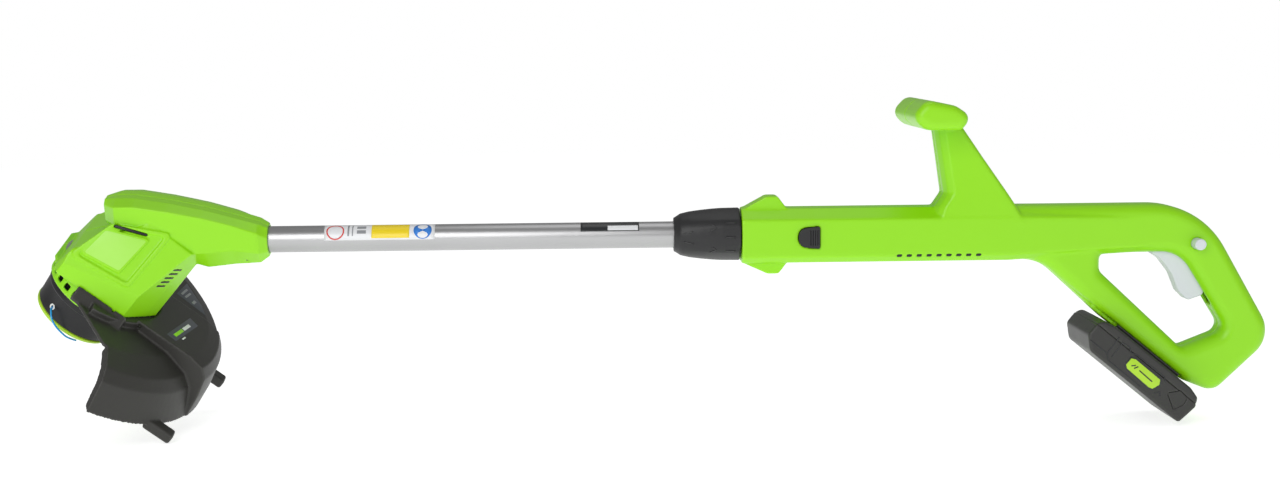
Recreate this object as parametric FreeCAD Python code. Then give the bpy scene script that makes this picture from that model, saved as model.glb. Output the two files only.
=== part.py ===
import FreeCAD, Part
import math
import os
from FreeCAD import Placement, Rotation, Vector

# Cordless string trimmer. All sizes in millimetres.
# Working frame: X runs along the shaft from the cutting head to the handle, Z is up and
# Y is across the tool. X = 0 is the mouth of the head's neck, Y = Z = 0 the shaft's axis.
# The finished pieces are moved so that the origin is the bottom centre of the whole tool.

# Shaft
shaft_radius = 12.0
shaft_wall = 1.2
shaft_depth_in_neck = 58.0
neck_to_collar = 366.0
shaft_in_handle = 274.0
running_gap = 0.06
part_gap = 0.4

# Lock collar and collet
collar_length = 60.0
collar_nose_radius = 16.0
collar_radius = 24.0
collet_wall = 2.2
collet_length = 64.0
collar_turn_gap = 0.06

# Handle barrel
barrel_half_width = 22.0
barrel_top = 24.0
barrel_bottom = 25.5
barrel_flat_half = 10.0
barrel_side_top = 14.0
barrel_bore_radius = 15.3
barrel_straight_end = 670.0
barrel_blend_end = 800.0
fin_half_width = 11.0
fin_height = 35.0

# Rear loop
loop_half_width = 17.6
loop_edge_radius = 11.0
shell_wall = 2.8
loop_wall = 4.5
loop_room_half = 12.5

# Front grip
post_half_width = 22.0
grip_half_length = 58.0
grip_edge_radius = 7.0

# Buttons and trigger
trigger_half_width = 7.5
trigger_swing_deg = 9.0
lock_button_radius = 5.2
lock_button_proud = 11.0
lock_button_travel = 7.0
twist_button_proud = 2.2
twist_button_travel = 3.0

# Battery pack, in its own frame: x along the slide, z normal to the foot
battery_tilt_deg = 39.2
battery_corner = Vector(758.0, 0.0, -79.0)
battery_half_width = 38.0
battery_depth = 32.5
battery_nose = 7.5
battery_tail = 113.0
battery_wall = 2.4
rail_start = 16.0
rail_end = 94.0
rail_depth = 3.2
rail_half_width = 12.0

# Cutting head
head_twist_deg = 15.0
spool_tilt_deg = 40.0
spool_axis_back = 95.0
bell_forward = 5.0
housing_half_width = 50.0
housing_front = 42.0
housing_rear = 62.0
housing_bottom = -123.0
housing_wall = 2.6
skirt_radius = 43.5
skirt_bottom = -142.0
motor_radius = 18.0
motor_length = 39.5
motor_shaft_radius = 2.5

# Spool
drum_top_radius = 40.5
drum_bottom_radius = 37.0
drum_height = 27.0
drum_wall = 2.4
cap_radius = 38.0
cap_height = 4.5
line_diameter = 1.65

# Guard, radii about the spool's axis
guard_sweep_deg = 66.0
guard_plate = -121.0
guard_wing = -129.0
guard_rim = -174.0
guard_rim_radius = 144.0
guard_half_plate = 40.0
guard_wall = 2.6

pieces = {}


def box(x0, x1, y0, y1, z0, z1):
    return Part.makeBox(x1 - x0, y1 - y0, z1 - z0, Vector(x0, y0, z0))


def rod(start, direction, length, radius):
    return Part.makeCylinder(radius, length, Vector(*start), Vector(*direction))


def ring(start, direction, length, outer, inner):
    return rod(start, direction, length, outer).cut(rod(start, direction, length, inner))


def cone(start, direction, length, radius0, radius1):
    return Part.makeCone(radius0, radius1, length, Vector(*start), Vector(*direction))


def outline(corners, radii):
    # Closed face in the XZ plane; each corner (x, z) is rounded by its own radius.
    count = len(corners)
    points = [Vector(x, 0, z) for x, z in corners]
    edges = []
    ends = []
    for i in range(count):
        here = points[i]
        back = (points[i - 1] - here).normalize()
        ahead = (points[(i + 1) % count] - here).normalize()
        half = math.acos(max(-1.0, min(1.0, back.dot(ahead)))) / 2
        if radii[i] <= 0:
            ends.append((here, here))
            continue
        reach = radii[i] / math.tan(half)
        first = here + back * reach
        last = here + ahead * reach
        bisector = (back + ahead).normalize()
        middle = here + bisector * (radii[i] / math.sin(half) - radii[i])
        edges.append((i, Part.Arc(first, middle, last).toShape()))
        ends.append((first, last))
    arcs = dict(edges)
    loop = []
    for i in range(count):
        if i in arcs:
            loop.append(arcs[i])
        leaving, arriving = ends[i][1], ends[(i + 1) % count][0]
        if (leaving - arriving).Length > 0.001:
            loop.append(Part.makeLine(leaving, arriving))
    return Part.Face(Part.Wire(loop))


def slab(face, y0, y1):
    moved = face.copy()
    moved.translate(Vector(0, y0, 0))
    return moved.extrude(Vector(0, y1 - y0, 0))


def across(shape):
    return shape.mirror(Vector(0, 0, 0), Vector(0, 1, 0))


def loft(sections):
    wires = [Part.makePolygon(points + [points[0]]) for points in sections]
    return Part.makeLoft(wires, True, True)


def beyond(point, normal, size=400.0):
    # A block that fills the space past a plane, for trimming.
    block = Part.makeBox(2 * size, 2 * size, size, Vector(-size, -size, 0))
    block.Placement = Placement(Vector(*point), Rotation(Vector(0, 0, 1), Vector(*normal)))
    return block


def fuse(shapes):
    whole = shapes[0].multiFuse(shapes[1:]) if len(shapes) > 1 else shapes[0]
    return whole.removeSplitter()


def placed(shape, placement):
    moved = shape.copy()
    moved.Placement = placement.multiply(moved.Placement)
    return moved


battery_place = Placement(battery_corner, Rotation(Vector(0, 1, 0), battery_tilt_deg))
head_place = Placement(Vector(0, 0, 0), Rotation(Vector(1, 0, 0), head_twist_deg))
spool_root = Placement(
    Vector(-spool_axis_back * math.cos(math.radians(spool_tilt_deg)), 0,
           spool_axis_back * math.sin(math.radians(spool_tilt_deg))),
    Rotation(Vector(0, 1, 0), spool_tilt_deg))
spool_place = head_place.multiply(spool_root)
bell_root = spool_root.multiply(Placement(Vector(-bell_forward, 0, 0), Rotation()))
bell_place = head_place.multiply(bell_root)


def keep(name, shape, placement=None):
    pieces[name] = placed(shape, placement) if placement else shape


def split_shells(outer, hollow, near_name, far_name, placement=None):
    # Two moulded halves that meet on the tool's middle plane.
    shell = outer.cut(hollow)
    size = 2000.0
    near = shell.common(box(-size, size, -size, 0, -size, size))
    far = shell.common(box(-size, size, 0, size, -size, size))
    keep(near_name, near, placement)
    keep(far_name, far, placement)


collar_end = neck_to_collar + collar_length
barrel_start = collar_end + 1.0
shaft_end = neck_to_collar + shaft_in_handle


# Handle: barrel, rear loop, post and front grip, moulded as two halves
def barrel_section(x, half, top, bottom, flat, side_top):
    low = -bottom + 6.0
    right = [(flat, top), (half, side_top), (half, low), (half - 7.0, -bottom)]
    left = [(-y, z) for y, z in reversed(right)]
    return [Vector(x, y, z) for y, z in right + left]


def barrel_solid():
    full = (barrel_half_width, barrel_top, barrel_bottom, barrel_flat_half, barrel_side_top)
    last = (loop_half_width - 0.2, barrel_top - 0.5, 19.5, 8.0, 12.0)
    return loft([barrel_section(barrel_start, *full), barrel_section(barrel_straight_end, *full),
                 barrel_section(barrel_blend_end, *last)])


def fin_solid():
    top = outline([(barrel_start + 1, 18), (barrel_start + 1, barrel_top - 1), (450, fin_height),
                   (460, fin_height), (469, barrel_top - 1), (469, 18)], [0, 0, 3, 3, 0, 0])
    bottom = outline([(barrel_start + 1, -18), (469, -18), (469, -barrel_bottom), (461, -fin_height - 1),
                      (451, -fin_height - 1), (barrel_start + 1, -barrel_bottom)], [0, 0, 0, 3, 3, 0])
    return [slab(face, -fin_half_width, fin_half_width) for face in (top, bottom)]


loop_outer = [(600, 24), (847, 24), (918, -99.5), (863, -151), (834, -139.5), (758, -79.4),
              (699.5, -25.5), (600, -25.5)]
loop_outer_radii = [0, 80, 28, 15, 22, 60, 45, 0]
loop_inner = [(755, -20.5), (828, -20.5), (873, -93), (832, -109), (755, -37)]
loop_inner_radii = [6, 30, 9, 7, 9]


def loop_face(inset):
    # The side view of the rear handle, with its hand opening.
    outer = outline(loop_outer, loop_outer_radii)
    inner = outline(loop_inner, loop_inner_radii)
    if inset > 0:
        outer = outer.makeOffset2D(-inset)
        inner = inner.makeOffset2D(inset)
    return outer.cut(inner)


def loop_solid():
    block = slab(loop_face(0), -loop_half_width, loop_half_width)
    rims = []
    for edge in block.Edges:
        ends = [vertex.Point for vertex in edge.Vertexes]
        flat = all(abs(abs(p.y) - loop_half_width) < 0.01 and p.y * ends[0].y > 0 for p in ends)
        if flat and not all(p.x < 601 for p in ends):
            rims.append(edge)
    return block.makeFillet(loop_edge_radius, rims)


def post_section(z, front, rear, half, front_cut, rear_cut):
    right = [(front, half - 1.6 * front_cut), (front + 0.45 * front_cut, half - 0.6 * front_cut),
             (front + front_cut + 1.5, half), (rear - rear_cut, half), (rear, half - rear_cut)]
    left = [(x, -y) for x, y in reversed(right)]
    return [Vector(x, y, z) for x, y in right + left]


def post_solid(inset=0.0):
    sections = [(8, 598, 686), (24, 603, 676), (36, 611, 668), (69, 606, 645), (100, 601, 624)]
    half = post_half_width - inset
    return loft([post_section(z, front + inset, rear - inset, half * (1 - 0.0022 * (z - 8)),
                              7.0, 3.0) for z, front, rear in sections])


grip_corners = [(573, 107), (587, 122), (613, 116.5), (627, 107), (619, 95), (586, 95)]


def grip_solid():
    face = outline(grip_corners, [9, 10, 14, 8, 8, 12])
    bar = slab(face, -grip_half_length, grip_half_length)
    ends = [edge for edge in bar.Edges
            if all(abs(abs(v.Point.y) - grip_half_length) < 0.01 for v in edge.Vertexes)
            and edge.Vertexes[0].Point.y * edge.Vertexes[-1].Point.y > 0]
    return bar.makeFillet(grip_edge_radius, ends)


handle_screws = [(690, 14), (772, 2), (893, -88), (842, -126), (700, -10), (618, 60)]
screw_radius = 1.5
screw_head_radius = 3.4
boss_radius = 4.2
twist_button_at = (487.0, -2.0)
lock_button_at = (842.0, -12.0)
trigger_pin_at = (812.0, -11.0)
switch_at = (851.0, -34.0)


def handle_hollow():
    bore = rod((barrel_start - 1, 0, 0), (1, 0, 0), shaft_end + 10 - barrel_start, barrel_bore_radius)
    room = slab(loop_face(loop_wall), -loop_room_half, loop_room_half)
    room = room.cut(beyond((shaft_end + 12, 0, 0), (-1, 0, 0), 300))
    post = post_solid(shell_wall).common(box(500, 700, -100, 100, barrel_top - 4, 90))
    core = rod((600, -grip_half_length + 6, 107), (0, 1, 0), 2 * grip_half_length - 12, 8)
    bosses = [rod((x, -60, z), (0, 1, 0), 120, boss_radius) for x, z in handle_screws]
    hollow = fuse([bore, room, post, core])
    x, z = switch_at
    ledge = [(x + 8, z + 4), (x + 18, z + 4), (x + 18, z - 6), (x + 8, z - 6)]
    ledges = [slab(outline(ledge, [0] * 4), y0, y1)
              for y0, y1 in ((-30, -6.5), (6.5, 30))]
    return hollow.cut(Part.makeCompound(bosses + ledges))


def twist_button_face(grow):
    x, z = twist_button_at
    return outline([(x + 10 + grow, z + 10 + grow), (x + 10 + grow, z - 10 - grow),
                    (x - 9 - grow, z - 8 - grow), (x - 9 - grow, z + 8 + grow)],
                   [1 + grow, 1 + grow, 7.5 + grow, 7.5 + grow])


def trigger_slot():
    x, z = trigger_pin_at
    half = trigger_half_width + part_gap
    face = outline([(x - 12, z + 9), (x + 14, z + 9), (872, -63), (856, -72), (x - 12, z - 24)], [0] * 5)
    return slab(face, -half, half)


def make_handle():
    outer = fuse([barrel_solid(), loop_solid(), post_solid(), grip_solid()] + fin_solid())
    cuts = [handle_hollow(), slab(twist_button_face(0.15), -40, -barrel_bore_radius + 2)]
    cuts.append(slab(twist_button_face(2.2), -barrel_half_width + 3.4, -barrel_bore_radius + 4))
    cuts.append(trigger_slot())
    cuts.append(rod((lock_button_at[0], -40, lock_button_at[1]), (0, 1, 0), 80, lock_button_radius + 0.05))
    pin_x, pin_z = trigger_pin_at
    cuts.append(rod((pin_x, -trigger_half_width - 4, pin_z), (0, 1, 0), 2 * trigger_half_width + 8, 2.0))
    for x, z in handle_screws:
        cuts.append(rod((x, -12, z), (0, 1, 0), 50, screw_radius))
        cuts.append(rod((x, 9.0, z), (0, 1, 0), 40, screw_head_radius + 0.1))
    for i in range(9):
        cuts.append(box(567 + 9 * i, 572 + 9 * i, -40, -13, -20.6, -18.2))
        cuts.append(box(567 + 9 * i, 572 + 9 * i, 13, 40, -20.6, -18.2))
    window = placed(box(25, 71, -8.4, 8.4, -2, loop_wall + 1), battery_place)
    cuts.append(window)
    cuts += [placed(track, battery_place) for track in rail_tracks()]
    split_shells(outer, Part.makeCompound(cuts), "handle_shell_near", "handle_shell_far")
    screws = []
    for x, z in handle_screws:
        screws.append(rod((x, -10, z), (0, 1, 0), 19.0, screw_radius))
        screws.append(rod((x, 9.0, z), (0, 1, 0), 2.4, screw_head_radius))
    bodies = [fuse([screws[2 * i], screws[2 * i + 1]]) for i in range(len(handle_screws))]
    keep("handle_screws", Part.makeCompound(bodies))


# Battery rails: two T-shaped tracks in the foot, and matching ribs on the pack
def rail_profile(side, grow, x0, x1):
    centre = side * rail_half_width
    stem = box(x0, x1, centre - 1.5 - grow, centre + 1.5 + grow, -0.5, rail_depth)
    head = box(x0, x1, centre - 3.0 - grow, centre + 3.0 + grow, rail_depth - 1.4 - grow, rail_depth + grow)
    return fuse([stem, head])


def rail_tracks():
    return [rail_profile(side, part_gap, -60, rail_end) for side in (-1, 1)]


def make_handle_inside():
    x0 = neck_to_collar + 6
    inner = shaft_radius + running_gap
    sleeve = ring((x0, 0, 0), (1, 0, 0), collet_length, shaft_radius + collet_wall, inner)
    flange = ring((barrel_start + 2, 0, 0), (1, 0, 0), 5, barrel_bore_radius, inner)
    slots = [box(x0 - 1, x0 + 34, -0.8, 0.8, -40, 40), box(x0 - 1, x0 + 34, -40, 40, -0.8, 0.8)]
    keep("clamp_collet", fuse([sleeve, flange]).cut(Part.makeCompound(slots)))
    x, z = trigger_pin_at
    keep("trigger_pin", rod((x, -trigger_half_width - 4, z), (0, 1, 0), 2 * trigger_half_width + 8, 2.0))
    x, z = switch_at
    body = box(x + 6, x + 20, -6.5, 6.5, z - 8, z + 6)
    keep("trigger_switch", body.cut(rod((x + 5, 0, z - 3), (1, 0, 0), 14.6, 2.2 + running_gap)))
    keep("switch_plunger", rod((x - 5.8, 0, z - 3), (1, 0, 0), 17.6, 2.2))
    block = placed(box(22, 74, -12, 12, loop_wall, 10.5), battery_place)
    for shell in ("handle_shell_near", "handle_shell_far"):
        block = block.cut(pieces[shell])
    keep("terminal_block", block)
    blades = [box(36, 64, y - 0.5, y + 0.5, -4.0, loop_wall) for y in (-5, 0, 5)]
    keep("terminal_blades", Part.makeCompound(blades), battery_place)
    keep("control_board", box(712, 744, -loop_room_half, loop_room_half, -4.8, -3.2))
    keep("board_parts", Part.makeCompound([box(716, 724, -8, 2, -3.2, 4), box(730, 738, -4, 8, -3.2, 2)]))


def make_collar():
    x0, x1 = neck_to_collar, collar_end
    profile = [(x0, collar_nose_radius - 0.6), (x0 + 1.5, collar_nose_radius), (x0 + 6, 19.0),
               (x0 + 24, 22.2), (x0 + 43, collar_radius), (x1 - 1, collar_radius), (x1, collar_radius - 0.8)]
    bore = shaft_radius + collet_wall + collar_turn_gap
    points = [Vector(x, 0, r) for x, r in profile]
    points = [Vector(x0, 0, shaft_radius + part_gap)] + points
    points += [Vector(x1, 0, bore), Vector(x0 + 4, 0, bore)]
    points.append(Vector(x0 + 4, 0, shaft_radius + part_gap))
    body = Part.Face(Part.makePolygon(points + [points[0]])).revolve(Vector(0, 0, 0), Vector(1, 0, 0), 360)
    flats = []
    for i in range(6):
        flat = box(x0 + 8, x1 + 2, -14, 14, collar_radius - 0.9, collar_radius + 9)
        flat.rotate(Vector(x0 + 8, 0, collar_radius - 0.9), Vector(0, 1, 0), -2.6)
        flat.rotate(Vector(0, 0, 0), Vector(1, 0, 0), 60 * i)
        flats.append(flat)
    keep("lock_collar", body.cut(Part.makeCompound(flats)))


def make_controls():
    inner = slab(twist_button_face(1.8), -barrel_half_width + 3.5, -barrel_half_width + 5.5)
    thumb = slab(twist_button_face(0), -barrel_half_width - twist_button_proud, -barrel_half_width + 4)
    ribs = []
    x, z = twist_button_at
    for i in range(4):
        ribs.append(box(x + 1.4 + 2.1 * i, x + 2.2 + 2.1 * i, -40, -barrel_half_width - 1.4, z - 7, z + 7))
    keep("twist_button", fuse([inner, thumb]).cut(Part.makeCompound(ribs)))

    x, z = lock_button_at
    length = loop_half_width + lock_button_proud
    button = rod((x, -length, z), (0, 1, 0), length + loop_half_width - lock_button_travel - 1,
                 lock_button_radius)
    crown = [edge for edge in button.Edges if abs(edge.CenterOfMass.y + length) < 0.01]
    keep("lock_off_button", button.makeFillet(1.2, crown))

    x, z = trigger_pin_at
    face = outline([(x - 8, z + 5), (x + 7, z + 5), (x + 26, z - 16), (855, -60), (838, -66),
                    (829, -57), (822, -40), (812, -27), (x - 8, z - 11)], [4, 4, 5, 5, 5, 3, 14, 14, 3])
    lever = slab(face, -trigger_half_width, trigger_half_width)
    rims = [edge for edge in lever.Edges
            if all(abs(abs(v.Point.y) - trigger_half_width) < 0.01 for v in edge.Vertexes)
            and edge.Vertexes[0].Point.y * edge.Vertexes[-1].Point.y > 0]
    lever = lever.makeFillet(1.4, rims)
    hole = rod((x, -20, z), (0, 1, 0), 40, 2.0 + running_gap)
    keep("trigger", lever.cut(hole))


def make_battery():
    corners = [(-battery_nose, -10), (-4, -3.5), (8, -0.9), (98, -0.9), (109, -4), (battery_tail, -12),
               (110, -battery_depth), (4, -battery_depth), (-battery_nose, -22)]
    radii = [5, 6, 8, 3, 3, 3, 3, 8, 6]
    half = battery_half_width
    solid = slab(outline(corners, radii), -half, half)
    rims = [edge for edge in solid.Edges
            if all(abs(abs(v.Point.y) - half) < 0.01 for v in edge.Vertexes)
            and edge.Vertexes[0].Point.y * edge.Vertexes[-1].Point.y > 0]
    solid = solid.makeChamfer(1.6, rims)
    room = box(4.5, 106, 5 - half, half - 5, -battery_depth + battery_wall, -7.6)
    cells_room = room.common(solid)
    wells = [slab(latch_face(0.2), side * half - 6, side * half + 6) for side in (-1, 1)]
    seats = [slab(latch_face(1.6), *sorted((side * (half - 6), side * (half - 2.8)))) for side in (-1, 1)]
    slot = box(34, 66, -8, 8, -6.2, 2)
    slits = [box(34, battery_tail + 5, y - 0.9, y + 0.9, -4.8, 2) for y in (-5, 0, 5)]
    shell = solid.cut(Part.makeCompound([cells_room, slot] + slits + wells + seats))
    seam = -9.5
    big = 300
    ribs = [rail_profile(side, 0, rail_start, rail_end - 4) for side in (-1, 1)]
    feet = [box(rail_start, rail_end - 4, side * rail_half_width - 1.5, side * rail_half_width + 1.5, -1.5, 0)
            for side in (-1, 1)]
    upper = fuse([shell.common(box(-big, big, -big, big, seam, big))] + ribs + feet)
    lower = shell.common(box(-big, big, -big, big, -big, seam))
    keep("battery_cover", upper, battery_place)
    keep("battery_tray", lower, battery_place)
    cells = []
    for i in range(5):
        cells.append(rod((14.2 + 20 * i, -32, -battery_depth + battery_wall + 9.2), (0, 1, 0), 64, 9.2))
    keep("battery_cells", Part.makeCompound(cells), battery_place)
    clips = [box(36, 62, y - 1.6, y + 1.6, -6.2, -1.6) for y in (-5, 0, 5)]
    gaps = [box(34, 64, y - 0.55, y + 0.55, -5.0, 0) for y in (-5, 0, 5)]
    keep("battery_contacts", Part.makeCompound([c.cut(g) for c, g in zip(clips, gaps)]), battery_place)
    for side, name in ((-1, "battery_latch_near"), (1, "battery_latch_far")):
        face_y, back_y = side * (half - 0.2), side * (half - 3.0)
        thumb = slab(latch_face(0), min(face_y, back_y), max(face_y, back_y))
        inner = slab(latch_face(1.3), min(back_y, back_y - side * 0.9), max(back_y, back_y - side * 0.9))
        keep(name, fuse([thumb, inner]), battery_place)


def latch_face(grow):
    return outline([(84 - grow, -18), (92, -9 + grow), (101 + grow, -10 + grow), (102.5 + grow, -17),
                    (98, -26 - grow)], [1] * 5)


def make_shaft():
    length = shaft_depth_in_neck + shaft_end
    keep("shaft_tube", ring((-shaft_depth_in_neck, 0, 0), (1, 0, 0), length, shaft_radius,
                            shaft_radius - shaft_wall), head_place)
    inner = shaft_radius + running_gap
    sleeve = ring((shaft_end - 36, 0, 0), (1, 0, 0), 34, barrel_bore_radius - running_gap, inner)
    slots = [rod((shaft_end - 30 + 8 * i, -30, 0), (0, 1, 0), 16, 1.5) for i in range(3)]
    keep("twist_sleeve", sleeve.cut(Part.makeCompound(slots)))


# Cutting head, in its own upright frame before the twist
def neck_section(x, spine, top, shoulder, shoulder_z, low, low_z, bottom, bottom_z):
    right = [(spine, top), (shoulder, shoulder_z), (low, low_z), (bottom, bottom_z)]
    left = [(-y, z) for y, z in reversed(right)]
    return [Vector(x, y, z) for y, z in right + left]


def neck_solid():
    sections = [(-143, 5, 42.5, 9.5, 39, 9.5, 24, 5, 20),
                (-131, 10, 45, 23.5, 41, 25.5, 24, 12, 14),
                (-115, 10, 44.5, 23.5, 41, 25.5, 14, 12, 5),
                (-86, 10, 39.5, 23, 36, 25, -3, 12, -12),
                (-55, 10, 32.5, 22, 29, 23, -4, 10, -22.5),
                (-30, 9.5, 25, 21, 21.5, 21.5, -2, 9, -20),
                (-8, 9, 18, 19, 12.5, 19.5, -6, 9, -19),
                (0, 7, 13.6, 13.6, 6.5, 13.6, -6.5, 7, -13.6)]
    return loft([neck_section(*section) for section in sections])


def housing_plan(grow, z0, z1):
    front, half, rear = housing_front + grow, housing_half_width + grow, housing_rear + grow
    side = [(-front, 26), (-front + 10, half), (37 + 0.5 * grow, half), (54 + grow, 24 + 0.5 * grow),
            (rear, 10)]
    points = side + [(x, -y) for x, y in reversed(side)]
    wire = Part.makePolygon([Vector(x, y, z0) for x, y in points + [points[0]]])
    return Part.Face(wire).extrude(Vector(0, 0, z1 - z0))


def housing_solid(inset=0.0):
    # A faceted bell: upright band below, sloping sides and front above.
    body = housing_plan(-inset, housing_bottom, -44.0 - inset)
    for side in (1, -1):
        foot = (slope_foot.x, side * (slope_foot.y + inset), slope_foot.z)
        body = body.cut(beyond(foot, (slope_out.x, side * slope_out.y, slope_out.z)))
    body = body.cut(beyond((-housing_front + inset, 0, -110), (-12, 0, 9)))
    body = body.cut(beyond((-33 + inset, 0, -98), (-31, 0, 4.5)))
    return body


slope_foot = Vector(-32, -housing_half_width, -111)
slope_along = Vector(68, 0, 14).normalize()
slope_out = Vector(68, 0, 14).cross(Vector(37, 23, 59)).normalize()
slope_up = slope_out.cross(slope_along)
slope_place = Placement(slope_foot, Rotation(slope_along, slope_out * -1, slope_up, "XYZ"))


def frame_panel():
    # Raised frame and panel on the sloping side, drawn on the slope's own plane.
    frame = outline([(1, 9), (22, 48.5), (74, 63.5), (59, 3)], [4, 4, 4, 4])
    well = outline([(7, 11.5), (25, 45), (69, 58.5), (56.5, 6.5)], [3, 3, 3, 3])
    panel = outline([(10, 14), (19, 43), (58, 50), (47, 11.5)], [2, 2, 2, 2])
    solid = fuse([slab(frame.cut(well), -1.6, 3), slab(panel, -1.8, 3)])
    return placed(solid, slope_place)


def make_head_shells():
    skirt_inner = skirt_radius - housing_wall
    skirt_height = housing_bottom + 4 - skirt_bottom
    skirt = ring((0, 0, skirt_bottom), (0, 0, 1), skirt_height, skirt_radius, skirt_inner)
    floor = housing_plan(-1, housing_bottom, housing_bottom + 3)
    panel = frame_panel()
    outer = fuse([placed(part, bell_root) for part in (housing_solid(), floor, panel, across(panel))]
                 + [placed(skirt, spool_root), neck_solid()])
    room = housing_solid(housing_wall).common(box(-200, 200, -200, 200, housing_bottom + 3, -62))
    mouth = rod((0, 0, skirt_bottom - 1), (0, 0, 1), 26, skirt_inner)
    cuts = [placed(room, bell_root), placed(mouth, spool_root)]
    cuts.append(rod((-shaft_depth_in_neck, 0, 0), (1, 0, 0), 80, shaft_radius))
    cuts.append(box(-112, -shaft_depth_in_neck + 1, -8, 8, -6, 14))
    for i in range(-9, 10):
        vent = box(skirt_radius - 6, skirt_radius + 4, -3.1, 3.1, -138, -132)
        vent.rotate(Vector(0, 0, 0), Vector(0, 0, 1), 180 + 15 * i)
        cuts.append(placed(vent, spool_root))
    along = Vector(17, 26, 0).normalize()
    for i in range(5):
        start = Vector(37, -housing_half_width, -84 + 5 * i) + along * (14 + 1.3 * i)
        slit = placed(box(0, 12, -5, 5, -0.9, 0.9), Placement(start, Rotation(Vector(1, 0, 0), along)))
        cuts += [placed(slit, bell_root), placed(across(slit), bell_root)]
    top_slot = outline([(24, 46), (54, 51.2), (54.6, 54), (25, 49.4)], [0.5] * 4)
    opening = placed(slab(top_slot, -6, 8), slope_place)
    cuts += [placed(opening, bell_root), placed(across(opening), bell_root)]
    for x, z in head_screws:
        cuts.append(rod((x, -12, z), (0, 1, 0), 26, screw_radius))
        cuts.append(rod((x, 14, z), (0, 1, 0), 60, screw_head_radius + 0.1))
    split_shells(outer, Part.makeCompound(cuts), "head_shell_near", "head_shell_far", head_place)
    screws = []
    for x, z in head_screws:
        screws.append(fuse([rod((x, -11, z), (0, 1, 0), 25, screw_radius),
                            rod((x, 14, z), (0, 1, 0), 2.4, screw_head_radius)]))
    keep("head_screws", Part.makeCompound(screws), head_place)


head_screws = [(-125, 33), (-72, 27), (-20, 14.6), (-20, -14.6)]


def make_motor():
    top = housing_bottom + 5 + motor_length
    bolts = []
    holes = [rod((0, 0, housing_bottom), (0, 0, 1), 9, 6.6)]
    for x, y in ((12, 0), (-12, 0)):
        holes.append(rod((x, y, housing_bottom), (0, 0, 1), 9, screw_radius))
        bolts.append(fuse([rod((x, y, housing_bottom + 3), (0, 0, 1), 3.4, screw_radius),
                           rod((x, y, housing_bottom + 1.2), (0, 0, 1), 1.8, 3.0)]))
    plate = rod((0, 0, housing_bottom + 3), (0, 0, 1), 2, skirt_radius - 0.4).cut(Part.makeCompound(holes))
    plate = placed(plate, spool_place)
    for shell in ("head_shell_near", "head_shell_far"):
        plate = plate.cut(pieces[shell])
    keep("motor_plate", plate)
    can = ring((0, 0, housing_bottom + 5), (0, 0, 1), motor_length, motor_radius, motor_radius - 1.4)
    floor = ring((0, 0, housing_bottom + 5), (0, 0, 1), 1.4, motor_radius, 6.6)
    keep("motor_can", fuse([can, floor]).cut(Part.makeCompound(holes)), spool_place)
    cap = ring((0, 0, top), (0, 0, 1), 4, motor_radius, 6.0)
    keep("motor_end_cap", cap, spool_place)
    magnets = []
    for turn in (0, 180):
        arc = ring((0, 0, housing_bottom + 10), (0, 0, 1), motor_length - 10,
                   motor_radius - 1.4, motor_radius - 4.4)
        arc = arc.common(box(0, 30, -11, 11, -200, 0))
        arc.rotate(Vector(0, 0, 0), Vector(0, 0, 1), turn)
        magnets.append(arc)
    keep("motor_magnets", Part.makeCompound(magnets), spool_place)
    bushes = [ring((0, 0, housing_bottom + 3), (0, 0, 1), 3.4, 6.6, motor_shaft_radius + running_gap),
              ring((0, 0, top), (0, 0, 1), 4, 6.0, motor_shaft_radius + running_gap)]
    keep("motor_bushes", Part.makeCompound(bushes), spool_place)
    keep("motor_plate_screws", Part.makeCompound(bolts), spool_place)
    shaft = rod((0, 0, skirt_bottom - 24), (0, 0, 1), top + 3 - (skirt_bottom - 24), motor_shaft_radius)
    keep("motor_shaft", shaft, spool_place)
    core = ring((0, 0, housing_bottom + 12), (0, 0, 1), motor_length - 22,
                motor_radius - 5.0, motor_shaft_radius)
    keep("motor_rotor", core, spool_place)
    commutator = ring((0, 0, top - 8), (0, 0, 1), 6, 5.0, motor_shaft_radius)
    keep("motor_commutator", commutator, spool_place)


# Cutting line, drawn as runs and tangent arcs through points hand-set about the spool
def spool_point(degrees, radius, height):
    turn = math.radians(degrees)
    return Vector(radius * math.cos(turn), radius * math.sin(turn), height)


eyelet_turn_deg = -123.0
eyelet_height = -162.0
line_route = [(-123, 30, -162), (-123, 39.5, -162), (-117, 43, -163), (-111, 45.3, -165.8),
              (-105, 45.7, -168.3), (-99, 44.3, -170.7), (-91, 41.6, -173.4), (-80, 38.5, -176.4),
              (-66, 34, -177.4)]


def make_cord(points, diameter):
    edges = []
    start = points[0]
    for before, here, after in zip(points, points[1:], points[2:]):
        back, ahead = before - here, after - here
        half = math.acos(max(-1.0, min(1.0, back.dot(ahead) / back.Length / ahead.Length))) / 2
        reach = 0.45 * min(back.Length, ahead.Length)
        radius = reach * math.tan(half)
        print("line bend radius", round(radius, 1))
        back, ahead = back.normalize(), ahead.normalize()
        first, last = here + back * reach, here + ahead * reach
        middle = here + (back + ahead).normalize() * (radius / math.sin(half) - radius)
        edges.append(Part.makeLine(start, first))
        edges.append(Part.Arc(first, middle, last).toShape())
        start = last
    edges.append(Part.makeLine(start, points[-1]))
    path = Part.Wire(edges)
    ring_wire = Part.Wire(Part.makeCircle(diameter / 2, points[0], points[1] - points[0]))
    cord = path.makePipeShell([ring_wire], True, False)
    section = math.pi * diameter ** 2 / 4
    print("line volume over section times length", round(cord.Volume / (section * path.Length), 3))
    return cord


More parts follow.
